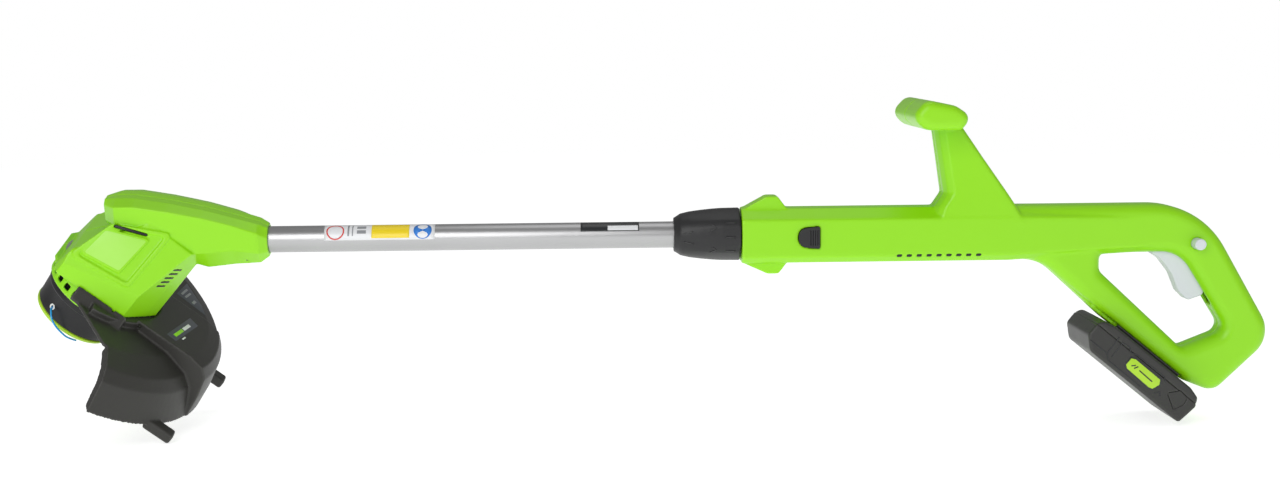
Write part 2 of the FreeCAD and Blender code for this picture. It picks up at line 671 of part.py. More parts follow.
def make_spool():
    top = skirt_bottom - 1.5
    bottom = top - drum_height
    drum = cone((0, 0, bottom), (0, 0, 1), drum_height, drum_bottom_radius, drum_top_radius)
    hollow = cone((0, 0, bottom - 0.1), (0, 0, 1), drum_height - 2.4, drum_bottom_radius - drum_wall,
                  drum_top_radius - drum_wall)
    hub = ring((0, 0, bottom + 6), (0, 0, 1), drum_height - 7, 7.0, motor_shaft_radius)
    drum = fuse([drum.cut(hollow), hub]).cut(rod((0, 0, bottom - 5), (0, 0, 1), 60, motor_shaft_radius))
    fins = []
    for i in range(12):
        fin = box(30, drum_top_radius - 0.5, -0.8, 0.8, top - 0.5, top + 4)
        fin.rotate(Vector(0, 0, 0), Vector(0, 0, 1), 30 * i)
        fins.append(fin)
    holes = []
    eyelets = []
    for turn in (eyelet_turn_deg, eyelet_turn_deg + 180):
        centre = spool_point(turn, drum_bottom_radius - 4.4, eyelet_height)
        out = spool_point(turn, 1.0, 0)
        holes.append(rod(centre, out, 12, 3.0))
        flare = cone(centre + out * 2.6, out, 3.1, line_diameter / 2, 1.7)
        eyelets.append(ring(centre, out, 5.6, 3.0, line_diameter / 2).cut(flare))
    keep("spool_drum", fuse([drum] + fins).cut(Part.makeCompound(holes)), spool_place)
    keep("line_eyelets", Part.makeCompound(eyelets), spool_place)
    cap = cone((0, 0, bottom - cap_height), (0, 0, 1), cap_height, cap_radius - 1.5, cap_radius)
    cap = fuse([cap, rod((0, 0, bottom - cap_height - 5), (0, 0, 1), 6, 14)])
    lip = ring((0, 0, bottom - 0.1), (0, 0, 1), 3, drum_bottom_radius - drum_wall - 0.1,
               drum_bottom_radius - drum_wall - 2)
    keep("spool_cap", fuse([cap, lip]).cut(rod((0, 0, bottom - 2), (0, 0, 1), 6, 9)), spool_place)
    reel_low, reel_high = bottom + 1.2, bottom + 17.0
    flanges = [ring((0, 0, level), (0, 0, 1), 1.4, 32, 8.0) for level in (reel_low, reel_high)]
    core = ring((0, 0, reel_low), (0, 0, 1), reel_high - reel_low, 15, 7.0 + running_gap)
    keep("line_reel", fuse([core] + [f.cut(rod((0, 0, reel_low - 1), (0, 0, 1), 30, 8)) for f in flanges]),
         spool_place)
    coil_height = reel_high - reel_low - 1.4
    keep("wound_line", ring((0, 0, reel_low + 1.4), (0, 0, 1), coil_height, 27, 15), spool_place)
    ceiling = bottom - 0.1 + drum_height - 2.4
    coils = [ring((0, 0, ceiling - 0.8 - 1.6 * i), (0, 0, 1), 0.8, 12, 10.6) for i in range(3)]
    ties = [box(10.8, 11.8, -0.5, 0.5, ceiling - 4, ceiling)]
    keep("reel_spring", fuse(coils + ties), spool_place)
    route = [spool_point(*point) for point in line_route]
    keep("cutting_line", make_cord(route, line_diameter), spool_place)


# Guard: a swept shell about the spool's axis, raised between two ridges
def swept(profile, first_deg, last_deg):
    points = [Vector(r, 0, z) for r, z in profile]
    face = Part.Face(Part.makePolygon(points + [points[0]]))
    face.rotate(Vector(0, 0, 0), Vector(0, 0, 1), first_deg)
    return face.revolve(Vector(0, 0, 0), Vector(0, 0, 1), last_deg - first_deg)


def shell_profile(skin, wall):
    # The skin's points run outward and down; the wall lies inside them.
    inside = [(skin[0][0], skin[0][1] - wall)]
    inside += [(r - 0.75 * wall, z - 0.85 * wall) for r, z in skin[1:-1]]
    inside.append((skin[-1][0] - wall, skin[-1][1]))
    return skin + list(reversed(inside))


wing_skin = [(52, guard_wing), (98, guard_wing - 3), (120, guard_wing - 10), (130, guard_wing - 19),
             (135, guard_wing - 29), (guard_rim_radius - 1, guard_rim)]
plate_skin = [(64, guard_plate), (114, guard_plate), (128, guard_plate - 3), (136, guard_plate - 11),
              (141, guard_plate - 31), (guard_rim_radius, guard_rim)]
far_skin = [(52, guard_wing + 3), (118, guard_wing + 3), (132, guard_wing - 1), (138, guard_wing - 12),
            (141, guard_wing - 27), (guard_rim_radius - 1, guard_rim)]
guard_tip = (-9, 53)
guard_corner = (44, 97)
peg_places = [(107, -84, 28), (126, 58, 32)]


def make_guard():
    sweep = guard_sweep_deg
    wing = fuse([swept(shell_profile(wing_skin, guard_wall), -sweep, 0),
                 swept(shell_profile(far_skin, guard_wall), 0, sweep)])
    plate = swept(shell_profile(plate_skin, guard_wall), -sweep, sweep)
    plate = plate.common(box(0, 200, -guard_half_plate, guard_half_plate, -200, -100))
    edge = [(60, guard_plate), (112, guard_plate), (126, guard_plate - 4), (133, guard_plate - 13),
            (139, guard_plate - 33), (140, guard_rim + 2), (136, guard_rim + 2), (124, guard_wing - 22),
            (60, guard_wing - 2)]
    step = slab(outline(edge, [0] * len(edge)), -1.3, 1.3)
    steps = []
    for side in (-1, 1):
        riser = step.copy()
        riser.translate(Vector(-4, side * (guard_half_plate - 1.3), 0))
        steps.append(riser)
    shoulder = [(52, guard_wing), (98, guard_wing - 3), (98, guard_wing - 6), (52, guard_wing - 3)]
    tips = []
    arms = []
    for side in (-1, 1):
        tip = swept(shoulder, -100, -sweep) if side < 0 else swept(shoulder, sweep, 100)
        lean = Vector(guard_tip[1] - guard_corner[1], -side * (guard_corner[0] - guard_tip[0]), 0) * -1
        normal = (-abs(lean.x), side * abs(lean.y), 0)
        tips.append(tip.cut(beyond((guard_tip[0], side * guard_tip[1], -130), normal)))
        wall = housing_half_width + part_gap
        arm = [(wall, guard_plate + 1), (wall + 1.8, guard_plate + 1), (wall + 9, guard_wing - 1),
               (wall + 9, guard_wing - 3), (wall, guard_wing - 3)]
        corners = [Vector(guard_tip[0], side * y, z) for y, z in arm + arm[:1]]
        arms.append(Part.Face(Part.makePolygon(corners)).extrude(Vector(41 - guard_tip[0], 0, 0)))
    flange = swept([(51, housing_bottom - part_gap), (66, housing_bottom - part_gap),
                    (66, housing_bottom - 9), (51, housing_bottom - 9)], -80, 80)
    ends = []
    rib = shell_profile([(96, guard_wing - 3)] + wing_skin[2:], 9.0)
    for side in (-1, 1):
        first, last = sorted((side * (sweep - 1.2), side * sweep))
        ends.append(swept(rib, first, last))
    pegs = []
    for x, y, length in peg_places:
        peg = box(x, x + length, y - 6.5, y + 6.5, guard_rim - 6, guard_rim + 4)
        pegs.append(peg.makeFillet(2.0, peg.Edges))
    body = fuse([wing, plate, flange] + steps + tips + arms + ends + pegs)
    body = body.cut(housing_plan(part_gap, housing_bottom - part_gap, -80))
    reach = guard_half_plate - guard_wall
    under = box(0, 200, -reach, reach, guard_wing - 30, guard_plate - guard_wall - 0.3)
    under = under.common(rod((0, 0, -200), (0, 0, 1), 90, 110)).cut(rod((0, 0, -200), (0, 0, 1), 90, 66))
    body = body.cut(under)
    holes = []
    screws = []
    for turn in guard_screw_turns:
        head_at = spool_point(turn, 58.0, housing_bottom - 9 - 2.4)
        neck_at = spool_point(turn, 58.0, housing_bottom - 9)
        holes.append(rod(head_at, (0, 0, -1), 12, screw_head_radius + 0.2))
        holes.append(rod(head_at, (0, 0, 1), 2.4, screw_head_radius + 0.2))
        holes.append(rod(neck_at, (0, 0, 1), 20, screw_radius))
        screws.append(fuse([rod(head_at, (0, 0, 1), 2.4, screw_head_radius),
                            rod(neck_at, (0, 0, 1), 8.4, screw_radius)]))
    keep("guard_screws", Part.makeCompound(screws), bell_place)
    blade = box(0, 34, -0.8, 0.8, guard_rim + 2, guard_rim + 17)
    blade = placed(blade, Placement(spool_point(52, 127, 0), Rotation(Vector(0, 0, 1), 142)))
    keep("line_cutter", blade, bell_place)
    keep("guard", body.cut(Part.makeCompound(holes)).cut(blade), bell_place)


guard_screw_turns = (-62, -30, 30, 62)


def make_lead():
    bend = Vector(-90, 0, 0)
    end = spool_root.multVec(Vector(10, 0, housing_bottom + 9 + motor_length + 1.2))
    run = rod(bend, (1, 0, 0), shaft_end + 60, 2.6)
    drop = rod(bend, end - bend, (end - bend).Length, 2.6)
    lead = placed(fuse([run, drop, Part.makeSphere(2.6, bend)]), head_place)
    keep("motor_lead", lead)
    keep("motor_end_cap", pieces["motor_end_cap"].cut(lead))


def main():
    make_handle()
    make_handle_inside()
    make_collar()
    make_controls()
    make_battery()
    make_shaft()
    make_head_shells()
    make_motor()
    make_spool()
    make_guard()
    make_lead()
    bounds = FreeCAD.BoundBox()
    for shape in pieces.values():
        bounds.add(shape.BoundBox)
    shift = Vector(-(bounds.XMin + bounds.XMax) / 2, -(bounds.YMin + bounds.YMax) / 2, -bounds.ZMin)
    print("working frame origin in the finished part", [round(v, 3) for v in shift])
    print("overall size", round(bounds.XLength, 1), round(bounds.YLength, 1), round(bounds.ZLength, 1))
    os.makedirs("parts", exist_ok=True)
    for name, shape in pieces.items():
        shape.translate(shift)
        shape.exportStep("parts/" + name + ".step")


main()
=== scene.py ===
import math

import bmesh
import bpy
from mathutils import Matrix, Vector


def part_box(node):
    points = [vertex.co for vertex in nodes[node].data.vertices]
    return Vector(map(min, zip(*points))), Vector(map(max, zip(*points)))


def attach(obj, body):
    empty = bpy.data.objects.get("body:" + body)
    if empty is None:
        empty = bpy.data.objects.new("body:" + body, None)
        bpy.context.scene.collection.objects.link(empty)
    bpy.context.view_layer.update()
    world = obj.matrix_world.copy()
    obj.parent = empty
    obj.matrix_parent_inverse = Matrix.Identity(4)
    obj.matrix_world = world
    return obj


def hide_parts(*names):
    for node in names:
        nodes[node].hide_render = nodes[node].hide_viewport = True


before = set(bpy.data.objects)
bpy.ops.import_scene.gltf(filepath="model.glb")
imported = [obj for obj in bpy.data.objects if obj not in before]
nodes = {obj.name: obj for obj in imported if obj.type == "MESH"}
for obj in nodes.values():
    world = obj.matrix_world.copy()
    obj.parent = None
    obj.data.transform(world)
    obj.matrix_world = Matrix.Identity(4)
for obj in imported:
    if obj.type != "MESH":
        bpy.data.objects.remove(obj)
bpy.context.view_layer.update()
print("frame loaded with", len(nodes), "nodes")

# Where the tool's own frames sit: the neck's mouth, the head, the bell, the spool and the battery
placing = {
    "tubeStart": -0.058,
    "headTwist": 15.0,
    "spoolTilt": 40.0,
    "spoolBack": 0.095,
    "bellForward": 0.005,
    "batteryTilt": 39.2,
    "batteryCorner": (0.758, 0.0, -0.079),
}
tubeLow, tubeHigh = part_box("shaft_tube")
neckMouth = Vector((tubeLow.x - placing["tubeStart"],
                    (tubeLow.y + tubeHigh.y) / 2, (tubeLow.z + tubeHigh.z) / 2))


def turnAbout(degrees, axis):
    return Matrix.Rotation(math.radians(degrees), 4, axis)


def shiftBy(x, y, z):
    return Matrix.Translation((x, y, z))


tilt = math.radians(placing["spoolTilt"])
toolFrame = Matrix.Translation(neckMouth)
headFrame = toolFrame @ turnAbout(placing["headTwist"], "X")
spoolFrame = (headFrame
              @ shiftBy(-placing["spoolBack"] * math.cos(tilt), 0, placing["spoolBack"] * math.sin(tilt))
              @ turnAbout(placing["spoolTilt"], "Y"))
bellFrame = spoolFrame @ shiftBy(-placing["bellForward"], 0, 0)
batteryFrame = (toolFrame @ shiftBy(*placing["batteryCorner"])
                @ turnAbout(placing["batteryTilt"], "Y"))


# Shared shader effects
def newGroup(name, inputs, outputs):
    group = bpy.data.node_groups.new(name, "ShaderNodeTree")
    for label, kind, value in inputs:
        socket = group.interface.new_socket(name=label, in_out="INPUT", socket_type=kind)
        socket.default_value = value
    for label, kind in outputs:
        group.interface.new_socket(name=label, in_out="OUTPUT", socket_type=kind)
    start = group.nodes.new("NodeGroupInput")
    end = group.nodes.new("NodeGroupOutput")
    return group, start, end


def addNode(tree, kind, **settings):
    node = tree.nodes.new(kind)
    for key, value in settings.items():
        if key in node.inputs:
            node.inputs[key].default_value = value
        else:
            setattr(node, key, value)
    return node


def joinMath(tree, operation, first, second):
    node = tree.nodes.new("ShaderNodeMath")
    node.operation = operation
    for slot, value in enumerate((first, second)):
        if isinstance(value, (int, float)):
            node.inputs[slot].default_value = value
        else:
            tree.links.new(value, node.inputs[slot])
    return node.outputs[0]


def buildColourDrift():
    # Slow cloudy change between two close colours, as moulded plastic shows.
    group, start, end = newGroup("colourDrift", [
        ("Colour", "NodeSocketColor", (0.5, 0.5, 0.5, 1)),
        ("Far Colour", "NodeSocketColor", (0.5, 0.5, 0.5, 1)),
        ("Scale", "NodeSocketFloat", 12.0)], [("Colour", "NodeSocketColor")])
    place = group.nodes.new("ShaderNodeTexCoord")
    cloud = addNode(group, "ShaderNodeTexNoise", Detail=3.0, Roughness=0.55)
    mix = addNode(group, "ShaderNodeMix", data_type="RGBA")
    group.links.new(place.outputs["Object"], cloud.inputs["Vector"])
    group.links.new(start.outputs["Scale"], cloud.inputs["Scale"])
    group.links.new(cloud.outputs["Fac"], mix.inputs[0])
    group.links.new(start.outputs["Colour"], mix.inputs[6])
    group.links.new(start.outputs["Far Colour"], mix.inputs[7])
    group.links.new(mix.outputs[2], end.inputs["Colour"])
    return group


def buildMouldGrain():
    # Fine spark-eroded texture: a height for Bump and a spread for roughness.
    group, start, end = newGroup("mouldGrain", [
        ("Scale", "NodeSocketFloat", 1400.0), ("Low", "NodeSocketFloat", 0.3),
        ("High", "NodeSocketFloat", 0.45)],
        [("Height", "NodeSocketFloat"), ("Roughness", "NodeSocketFloat")])
    place = group.nodes.new("ShaderNodeTexCoord")
    fine = addNode(group, "ShaderNodeTexNoise", Detail=2.0, Roughness=0.6)
    broad = addNode(group, "ShaderNodeTexNoise", Scale=26.0, Detail=3.0)
    spread = addNode(group, "ShaderNodeMapRange")
    group.links.new(place.outputs["Object"], fine.inputs["Vector"])
    group.links.new(place.outputs["Object"], broad.inputs["Vector"])
    group.links.new(start.outputs["Scale"], fine.inputs["Scale"])
    group.links.new(broad.outputs["Fac"], spread.inputs["Value"])
    group.links.new(start.outputs["Low"], spread.inputs["To Min"])
    group.links.new(start.outputs["High"], spread.inputs["To Max"])
    group.links.new(fine.outputs["Fac"], end.inputs["Height"])
    group.links.new(spread.outputs["Result"], end.inputs["Roughness"])
    return group


def buildEdgeWear():
    # Corners polished paler by handling, broken up by noise.
    group, start, end = newGroup("edgeWear", [
        ("Colour", "NodeSocketColor", (0.5, 0.5, 0.5, 1)),
        ("Worn Colour", "NodeSocketColor", (0.8, 0.8, 0.8, 1)),
        ("Amount", "NodeSocketFloat", 0.3)], [("Colour", "NodeSocketColor")])
    shape = group.nodes.new("ShaderNodeNewGeometry")
    place = group.nodes.new("ShaderNodeTexCoord")
    ridge = addNode(group, "ShaderNodeMapRange")
    ridge.inputs["From Min"].default_value = 0.51
    ridge.inputs["From Max"].default_value = 0.60
    broken = addNode(group, "ShaderNodeTexNoise", Scale=90.0, Detail=3.0)
    mix = addNode(group, "ShaderNodeMix", data_type="RGBA")
    group.links.new(shape.outputs["Pointiness"], ridge.inputs["Value"])
    group.links.new(place.outputs["Object"], broken.inputs["Vector"])
    mask = joinMath(group, "MULTIPLY", ridge.outputs["Result"], broken.outputs["Fac"])
    mask = joinMath(group, "MULTIPLY", mask, start.outputs["Amount"])
    group.links.new(mask, mix.inputs[0])
    group.links.new(start.outputs["Colour"], mix.inputs[6])
    group.links.new(start.outputs["Worn Colour"], mix.inputs[7])
    group.links.new(mix.outputs[2], end.inputs["Colour"])
    return group


def buildDrawnMetal():
    # Fine lines along the tool's length, left by drawing or brushing.
    group, start, end = newGroup("drawnMetal", [
        ("Fineness", "NodeSocketFloat", 900.0), ("Low", "NodeSocketFloat", 0.2),
        ("High", "NodeSocketFloat", 0.4)],
        [("Height", "NodeSocketFloat"), ("Roughness", "NodeSocketFloat")])
    place = group.nodes.new("ShaderNodeTexCoord")
    stretch = addNode(group, "ShaderNodeMapping")
    stretch.inputs["Scale"].default_value = (0.012, 1.0, 1.0)
    lines = addNode(group, "ShaderNodeTexNoise", Detail=4.0, Roughness=0.6)
    spread = addNode(group, "ShaderNodeMapRange")
    group.links.new(place.outputs["Object"], stretch.inputs["Vector"])
    group.links.new(stretch.outputs["Vector"], lines.inputs["Vector"])
    group.links.new(start.outputs["Fineness"], lines.inputs["Scale"])
    group.links.new(lines.outputs["Fac"], spread.inputs["Value"])
    group.links.new(start.outputs["Low"], spread.inputs["To Min"])
    group.links.new(start.outputs["High"], spread.inputs["To Max"])
    group.links.new(lines.outputs["Fac"], end.inputs["Height"])
    group.links.new(spread.outputs["Result"], end.inputs["Roughness"])
    return group


colourDrift = buildColourDrift()
mouldGrain = buildMouldGrain()
edgeWear = buildEdgeWear()
drawnMetal = buildDrawnMetal()


def withAlpha(colour):
    return (*colour, 1.0)


def makePlastic(name, look):
    material = bpy.data.materials.new(name)
    material.use_nodes = True
    tree = material.node_tree
    shader = tree.nodes["Principled BSDF"]
    drift = addNode(tree, "ShaderNodeGroup", node_tree=colourDrift)
    drift.inputs["Colour"].default_value = withAlpha(look["colour"])
    drift.inputs["Far Colour"].default_value = withAlpha(look["farColour"])
    drift.inputs["Scale"].default_value = look.get("driftScale", 9.0)
    wear = addNode(tree, "ShaderNodeGroup", node_tree=edgeWear)
    wear.inputs["Worn Colour"].default_value = withAlpha(look["worn"])
    wear.inputs["Amount"].default_value = look["wear"]
    grain = addNode(tree, "ShaderNodeGroup", node_tree=mouldGrain)
    grain.inputs["Scale"].default_value = look["grain"]
    grain.inputs["Low"].default_value = look["rough"][0]
    grain.inputs["High"].default_value = look["rough"][1]
    bump = addNode(tree, "ShaderNodeBump", Strength=look["bump"], Distance=0.0003)
    tree.links.new(drift.outputs["Colour"], wear.inputs["Colour"])
    tree.links.new(wear.outputs["Colour"], shader.inputs["Base Color"])
    tree.links.new(grain.outputs["Roughness"], shader.inputs["Roughness"])
    tree.links.new(grain.outputs["Height"], bump.inputs["Height"])
    tree.links.new(bump.outputs["Normal"], shader.inputs["Normal"])
    shader.inputs["Specular IOR Level"].default_value = look.get("specular", 0.5)
    shader.inputs["Coat Weight"].default_value = look.get("coat", 0.0)
    shader.inputs["Coat Roughness"].default_value = 0.2
    return material


def makeMetal(name, look):
    material = bpy.data.materials.new(name)
    material.use_nodes = True
    tree = material.node_tree
    shader = tree.nodes["Principled BSDF"]
    drift = addNode(tree, "ShaderNodeGroup", node_tree=colourDrift)
    drift.inputs["Colour"].default_value = withAlpha(look["colour"])
    drift.inputs["Far Colour"].default_value = withAlpha(look["farColour"])
    drift.inputs["Scale"].default_value = 20.0
    lines = addNode(tree, "ShaderNodeGroup", node_tree=drawnMetal)
    lines.inputs["Fineness"].default_value = look["fineness"]
    lines.inputs["Low"].default_value = look["rough"][0]
    lines.inputs["High"].default_value = look["rough"][1]
    bump = addNode(tree, "ShaderNodeBump", Strength=look["bump"], Distance=0.0002)
    tree.links.new(drift.outputs["Colour"], shader.inputs["Base Color"])
    tree.links.new(lines.outputs["Roughness"], shader.inputs["Roughness"])
    tree.links.new(lines.outputs["Height"], bump.inputs["Height"])
    tree.links.new(bump.outputs["Normal"], shader.inputs["Normal"])
    shader.inputs["Metallic"].default_value = 1.0
    return material


plasticLooks = {
    "limeShell": {"colour": (0.285, 0.71, 0.003), "farColour": (0.265, 0.68, 0.003),
                  "worn": (0.50, 0.88, 0.10), "wear": 0.35, "grain": 1500.0, "rough": (0.30, 0.40),
                  "bump": 0.10, "specular": 0.45},
    # The paler lime of the slope panel is a painted reflection of the lamps on that face.
    "limePanelPaintedSheen": {"colour": (0.34, 0.74, 0.06), "farColour": (0.40, 0.78, 0.12),
                  "worn": (0.50, 0.88, 0.20), "wear": 0.2, "grain": 1500.0, "rough": (0.30, 0.40),
                  "bump": 0.08, "specular": 0.5, "driftScale": 30.0},
    "guardBlack": {"colour": (0.027, 0.026, 0.023), "farColour": (0.034, 0.033, 0.030),
                   "worn": (0.16, 0.155, 0.15), "wear": 0.7, "grain": 1100.0, "rough": (0.36, 0.48),
                   "bump": 0.22, "specular": 0.35},
    "collarBlack": {"colour": (0.014, 0.014, 0.015), "farColour": (0.020, 0.020, 0.021),
                    "worn": (0.10, 0.10, 0.10), "wear": 0.5, "grain": 1600.0, "rough": (0.34, 0.46),
                    "bump": 0.16, "specular": 0.4},
    "drumBlack": {"colour": (0.008, 0.008, 0.009), "farColour": (0.013, 0.013, 0.014),
                  "worn": (0.08, 0.08, 0.08), "wear": 0.4, "grain": 1400.0, "rough": (0.28, 0.42),
                  "bump": 0.12, "specular": 0.35},
    "packCharcoal": {"colour": (0.028, 0.028, 0.026), "farColour": (0.036, 0.036, 0.034),
                     "worn": (0.17, 0.165, 0.16), "wear": 0.6, "grain": 1300.0, "rough": (0.36, 0.48),
                     "bump": 0.2, "specular": 0.4},
    "paleGrey": {"colour": (0.60, 0.64, 0.67), "farColour": (0.66, 0.69, 0.71),
                 "worn": (0.8, 0.82, 0.83), "wear": 0.3, "grain": 1500.0, "rough": (0.35, 0.45),
                 "bump": 0.08},
    "limeRim": {"colour": (0.42, 0.70, 0.02), "farColour": (0.37, 0.62, 0.015),
                "worn": (0.6, 0.8, 0.2), "wear": 0.3, "grain": 1500.0, "rough": (0.30, 0.40),
                "bump": 0.08},
    "eyeletWhite": {"colour": (0.80, 0.80, 0.78), "farColour": (0.72, 0.73, 0.72),
                    "worn": (0.9, 0.9, 0.9), "wear": 0.1, "grain": 900.0, "rough": (0.2, 0.3),
                    "bump": 0.04},
    "lineBlue": {"colour": (0.012, 0.30, 0.72), "farColour": (0.016, 0.36, 0.78),
                 "worn": (0.2, 0.5, 0.85), "wear": 0.2, "grain": 2200.0, "rough": (0.22, 0.32),
                 "bump": 0.06, "coat": 0.2},
    "boardGreen": {"colour": (0.01, 0.10, 0.04), "farColour": (0.015, 0.13, 0.05),
                   "worn": (0.3, 0.3, 0.2), "wear": 0.2, "grain": 800.0, "rough": (0.3, 0.5),
                   "bump": 0.1},
    "cellWrap": {"colour": (0.03, 0.16, 0.30), "farColour": (0.04, 0.19, 0.35),
                 "worn": (0.3, 0.4, 0.5), "wear": 0.2, "grain": 700.0, "rough": (0.2, 0.35),
                 "bump": 0.05},
    "leadRubber": {"colour": (0.015, 0.015, 0.015), "farColour": (0.022, 0.022, 0.022),
                   "worn": (0.06, 0.06, 0.06), "wear": 0.2, "grain": 1200.0, "rough": (0.55, 0.7),
                   "bump": 0.2},
    "labelWhite": {"colour": (0.78, 0.79, 0.80), "farColour": (0.74, 0.75, 0.77),
                   "worn": (0.7, 0.7, 0.7), "wear": 0.1, "grain": 500.0, "rough": (0.22, 0.30),
                   "bump": 0.03},
    "labelYellow": {"colour": (0.86, 0.66, 0.01), "farColour": (0.82, 0.62, 0.01),
                    "worn": (0.9, 0.8, 0.3), "wear": 0.1, "grain": 500.0, "rough": (0.22, 0.30),
                    "bump": 0.03},
    "labelBlue": {"colour": (0.02, 0.18, 0.62), "farColour": (0.03, 0.21, 0.66),
                  "worn": (0.2, 0.4, 0.8), "wear": 0.1, "grain": 500.0, "rough": (0.22, 0.30),
                  "bump": 0.03},
    "labelRed": {"colour": (0.70, 0.05, 0.04), "farColour": (0.66, 0.06, 0.05),
                 "worn": (0.8, 0.3, 0.3), "wear": 0.1, "grain": 500.0, "rough": (0.22, 0.30),
                 "bump": 0.03},
    "labelBlack": {"colour": (0.012, 0.014, 0.016), "farColour": (0.018, 0.020, 0.022),
                   "worn": (0.1, 0.1, 0.1), "wear": 0.1, "grain": 500.0, "rough": (0.22, 0.30),
                   "bump": 0.03},
    "labelGrey": {"colour": (0.24, 0.25, 0.27), "farColour": (0.28, 0.29, 0.30),
                  "worn": (0.4, 0.4, 0.4), "wear": 0.1, "grain": 500.0, "rough": (0.25, 0.35),
                  "bump": 0.03},
    "labelSlate": {"colour": (0.055, 0.062, 0.078), "farColour": (0.062, 0.068, 0.085),
                   "worn": (0.15, 0.16, 0.18), "wear": 0.2, "grain": 500.0, "rough": (0.30, 0.40),
                   "bump": 0.03},
}
metalLooks = {
    "tubeAluminium": {"colour": (0.47, 0.47, 0.475), "farColour": (0.43, 0.43, 0.435),
                      "fineness": 1500.0, "rough": (0.30, 0.42), "bump": 0.05},
    "brightSteel": {"colour": (0.55, 0.55, 0.56), "farColour": (0.48, 0.48, 0.50),
                    "fineness": 1200.0, "rough": (0.22, 0.36), "bump": 0.05},
    "darkSteel": {"colour": (0.16, 0.16, 0.17), "farColour": (0.12, 0.12, 0.13),
                  "fineness": 900.0, "rough": (0.3, 0.45), "bump": 0.08},
    "copperAlloy": {"colour": (0.72, 0.42, 0.20), "farColour": (0.64, 0.36, 0.17),
                    "fineness": 900.0, "rough": (0.25, 0.4), "bump": 0.06},
}
finishes = {name: makePlastic(name, look) for name, look in plasticLooks.items()}
finishes.update({name: makeMetal(name, look) for name, look in metalLooks.items()})
print("materials made:", len(finishes))


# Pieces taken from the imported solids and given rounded, moulded edges
def addPiece(name, mesh, material):
    piece = bpy.data.objects.new(name, mesh)
    bpy.context.scene.collection.objects.link(piece)
    piece.data.materials.clear()
    piece.data.materials.append(finishes[material])
    return piece


def smoothShade(mesh):
    mesh.polygons.foreach_set("use_smooth", [True] * len(mesh.polygons))
    mesh.update()


def applyModifiers(piece):
    bpy.context.view_layer.update()
    seen = piece.evaluated_get(bpy.context.evaluated_depsgraph_get())
    baked = bpy.data.meshes.new_from_object(seen)
    old = piece.data
    piece.modifiers.clear()
    piece.data = baked
    bpy.data.meshes.remove(old)


def weldedCopy(nodeName, pieceName):
    mesh = nodes[nodeName].data.copy()
    mesh.name = pieceName
    work = bmesh.new()
    work.from_mesh(mesh)
    bmesh.ops.remove_doubles(work, verts=work.verts, dist=1e-6)
    work.to_mesh(mesh)
    work.free()
    return mesh


mostTriangles = 190000


def mouldNode(look):
    # Remesh a solid finely and relax it, so that every edge gets a moulded radius.
    piece = addPiece(look["name"], weldedCopy(look["node"], look["name"]), look["finish"])
    skin = piece.modifiers.new("skin", "REMESH")
    skin.mode = "VOXEL"
    skin.voxel_size = look["voxel"]
    relax = piece.modifiers.new("relax", "SMOOTH")
    relax.factor = 0.5
    relax.iterations = look["relax"]
    applyModifiers(piece)
    triangles = 2 * len(piece.data.polygons)
    if triangles > mostTriangles:
        thin = piece.modifiers.new("thin", "DECIMATE")
        thin.ratio = mostTriangles / triangles
        applyModifiers(piece)
    smoothShade(piece.data)
    piece.data.materials.clear()
    piece.data.materials.append(finishes[look["finish"]])
    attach(piece, look["body"])
    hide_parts(look["node"])
    print("moulded", look["name"], len(piece.data.polygons), "faces")
    return piece


mouldedPieces = [
    {"name": "handleNear", "node": "handle_shell_near", "finish": "limeShell", "voxel": 0.0011,
     "relax": 8, "body": "handle", "slot": "lime_shell"},
    {"name": "handleFar", "node": "handle_shell_far", "finish": "limeShell", "voxel": 0.0011,
     "relax": 8, "body": "handle", "slot": "lime_shell"},
    {"name": "headNear", "node": "head_shell_near", "finish": "limeShell", "voxel": 0.0008,
     "relax": 4, "body": "head", "slot": "lime_shell"},
    {"name": "headFar", "node": "head_shell_far", "finish": "limeShell", "voxel": 0.0008,
     "relax": 4, "body": "head", "slot": "lime_shell"},
    {"name": "guardShield", "node": "guard", "finish": "guardBlack", "voxel": 0.0010,
     "relax": 3, "body": "head", "slot": "guard_plastic"},
    {"name": "packCover", "node": "battery_cover", "finish": "packCharcoal", "voxel": 0.0008,
     "relax": 3, "body": "battery", "slot": "battery_plastic"},
    {"name": "packTray", "node": "battery_tray", "finish": "packCharcoal", "voxel": 0.0008,
     "relax": 3, "body": "battery", "slot": "battery_plastic"},
    {"name": "packLatchNear", "node": "battery_latch_near", "finish": "packCharcoal",
     "voxel": 0.0003, "relax": 3, "body": "latch_near", "slot": "battery_plastic"},
    {"name": "packLatchFar", "node": "battery_latch_far", "finish": "packCharcoal",
     "voxel": 0.0003, "relax": 3, "body": "latch_far", "slot": "battery_plastic"},
    {"name": "triggerLever", "node": "trigger", "finish": "paleGrey", "voxel": 0.0005,
     "relax": 4, "body": "trigger", "slot": "pale_grey"},
    {"name": "twistThumb", "node": "twist_button", "finish": "collarBlack", "voxel": 0.0003,
     "relax": 2, "body": "twist_button", "slot": "black_plastic"},
    {"name": "lockOffPin", "node": "lock_off_button", "finish": "paleGrey", "voxel": 0.0004,
     "relax": 3, "body": "lock_off", "slot": "pale_grey"},
]
for look in mouldedPieces:
    mouldNode(look)


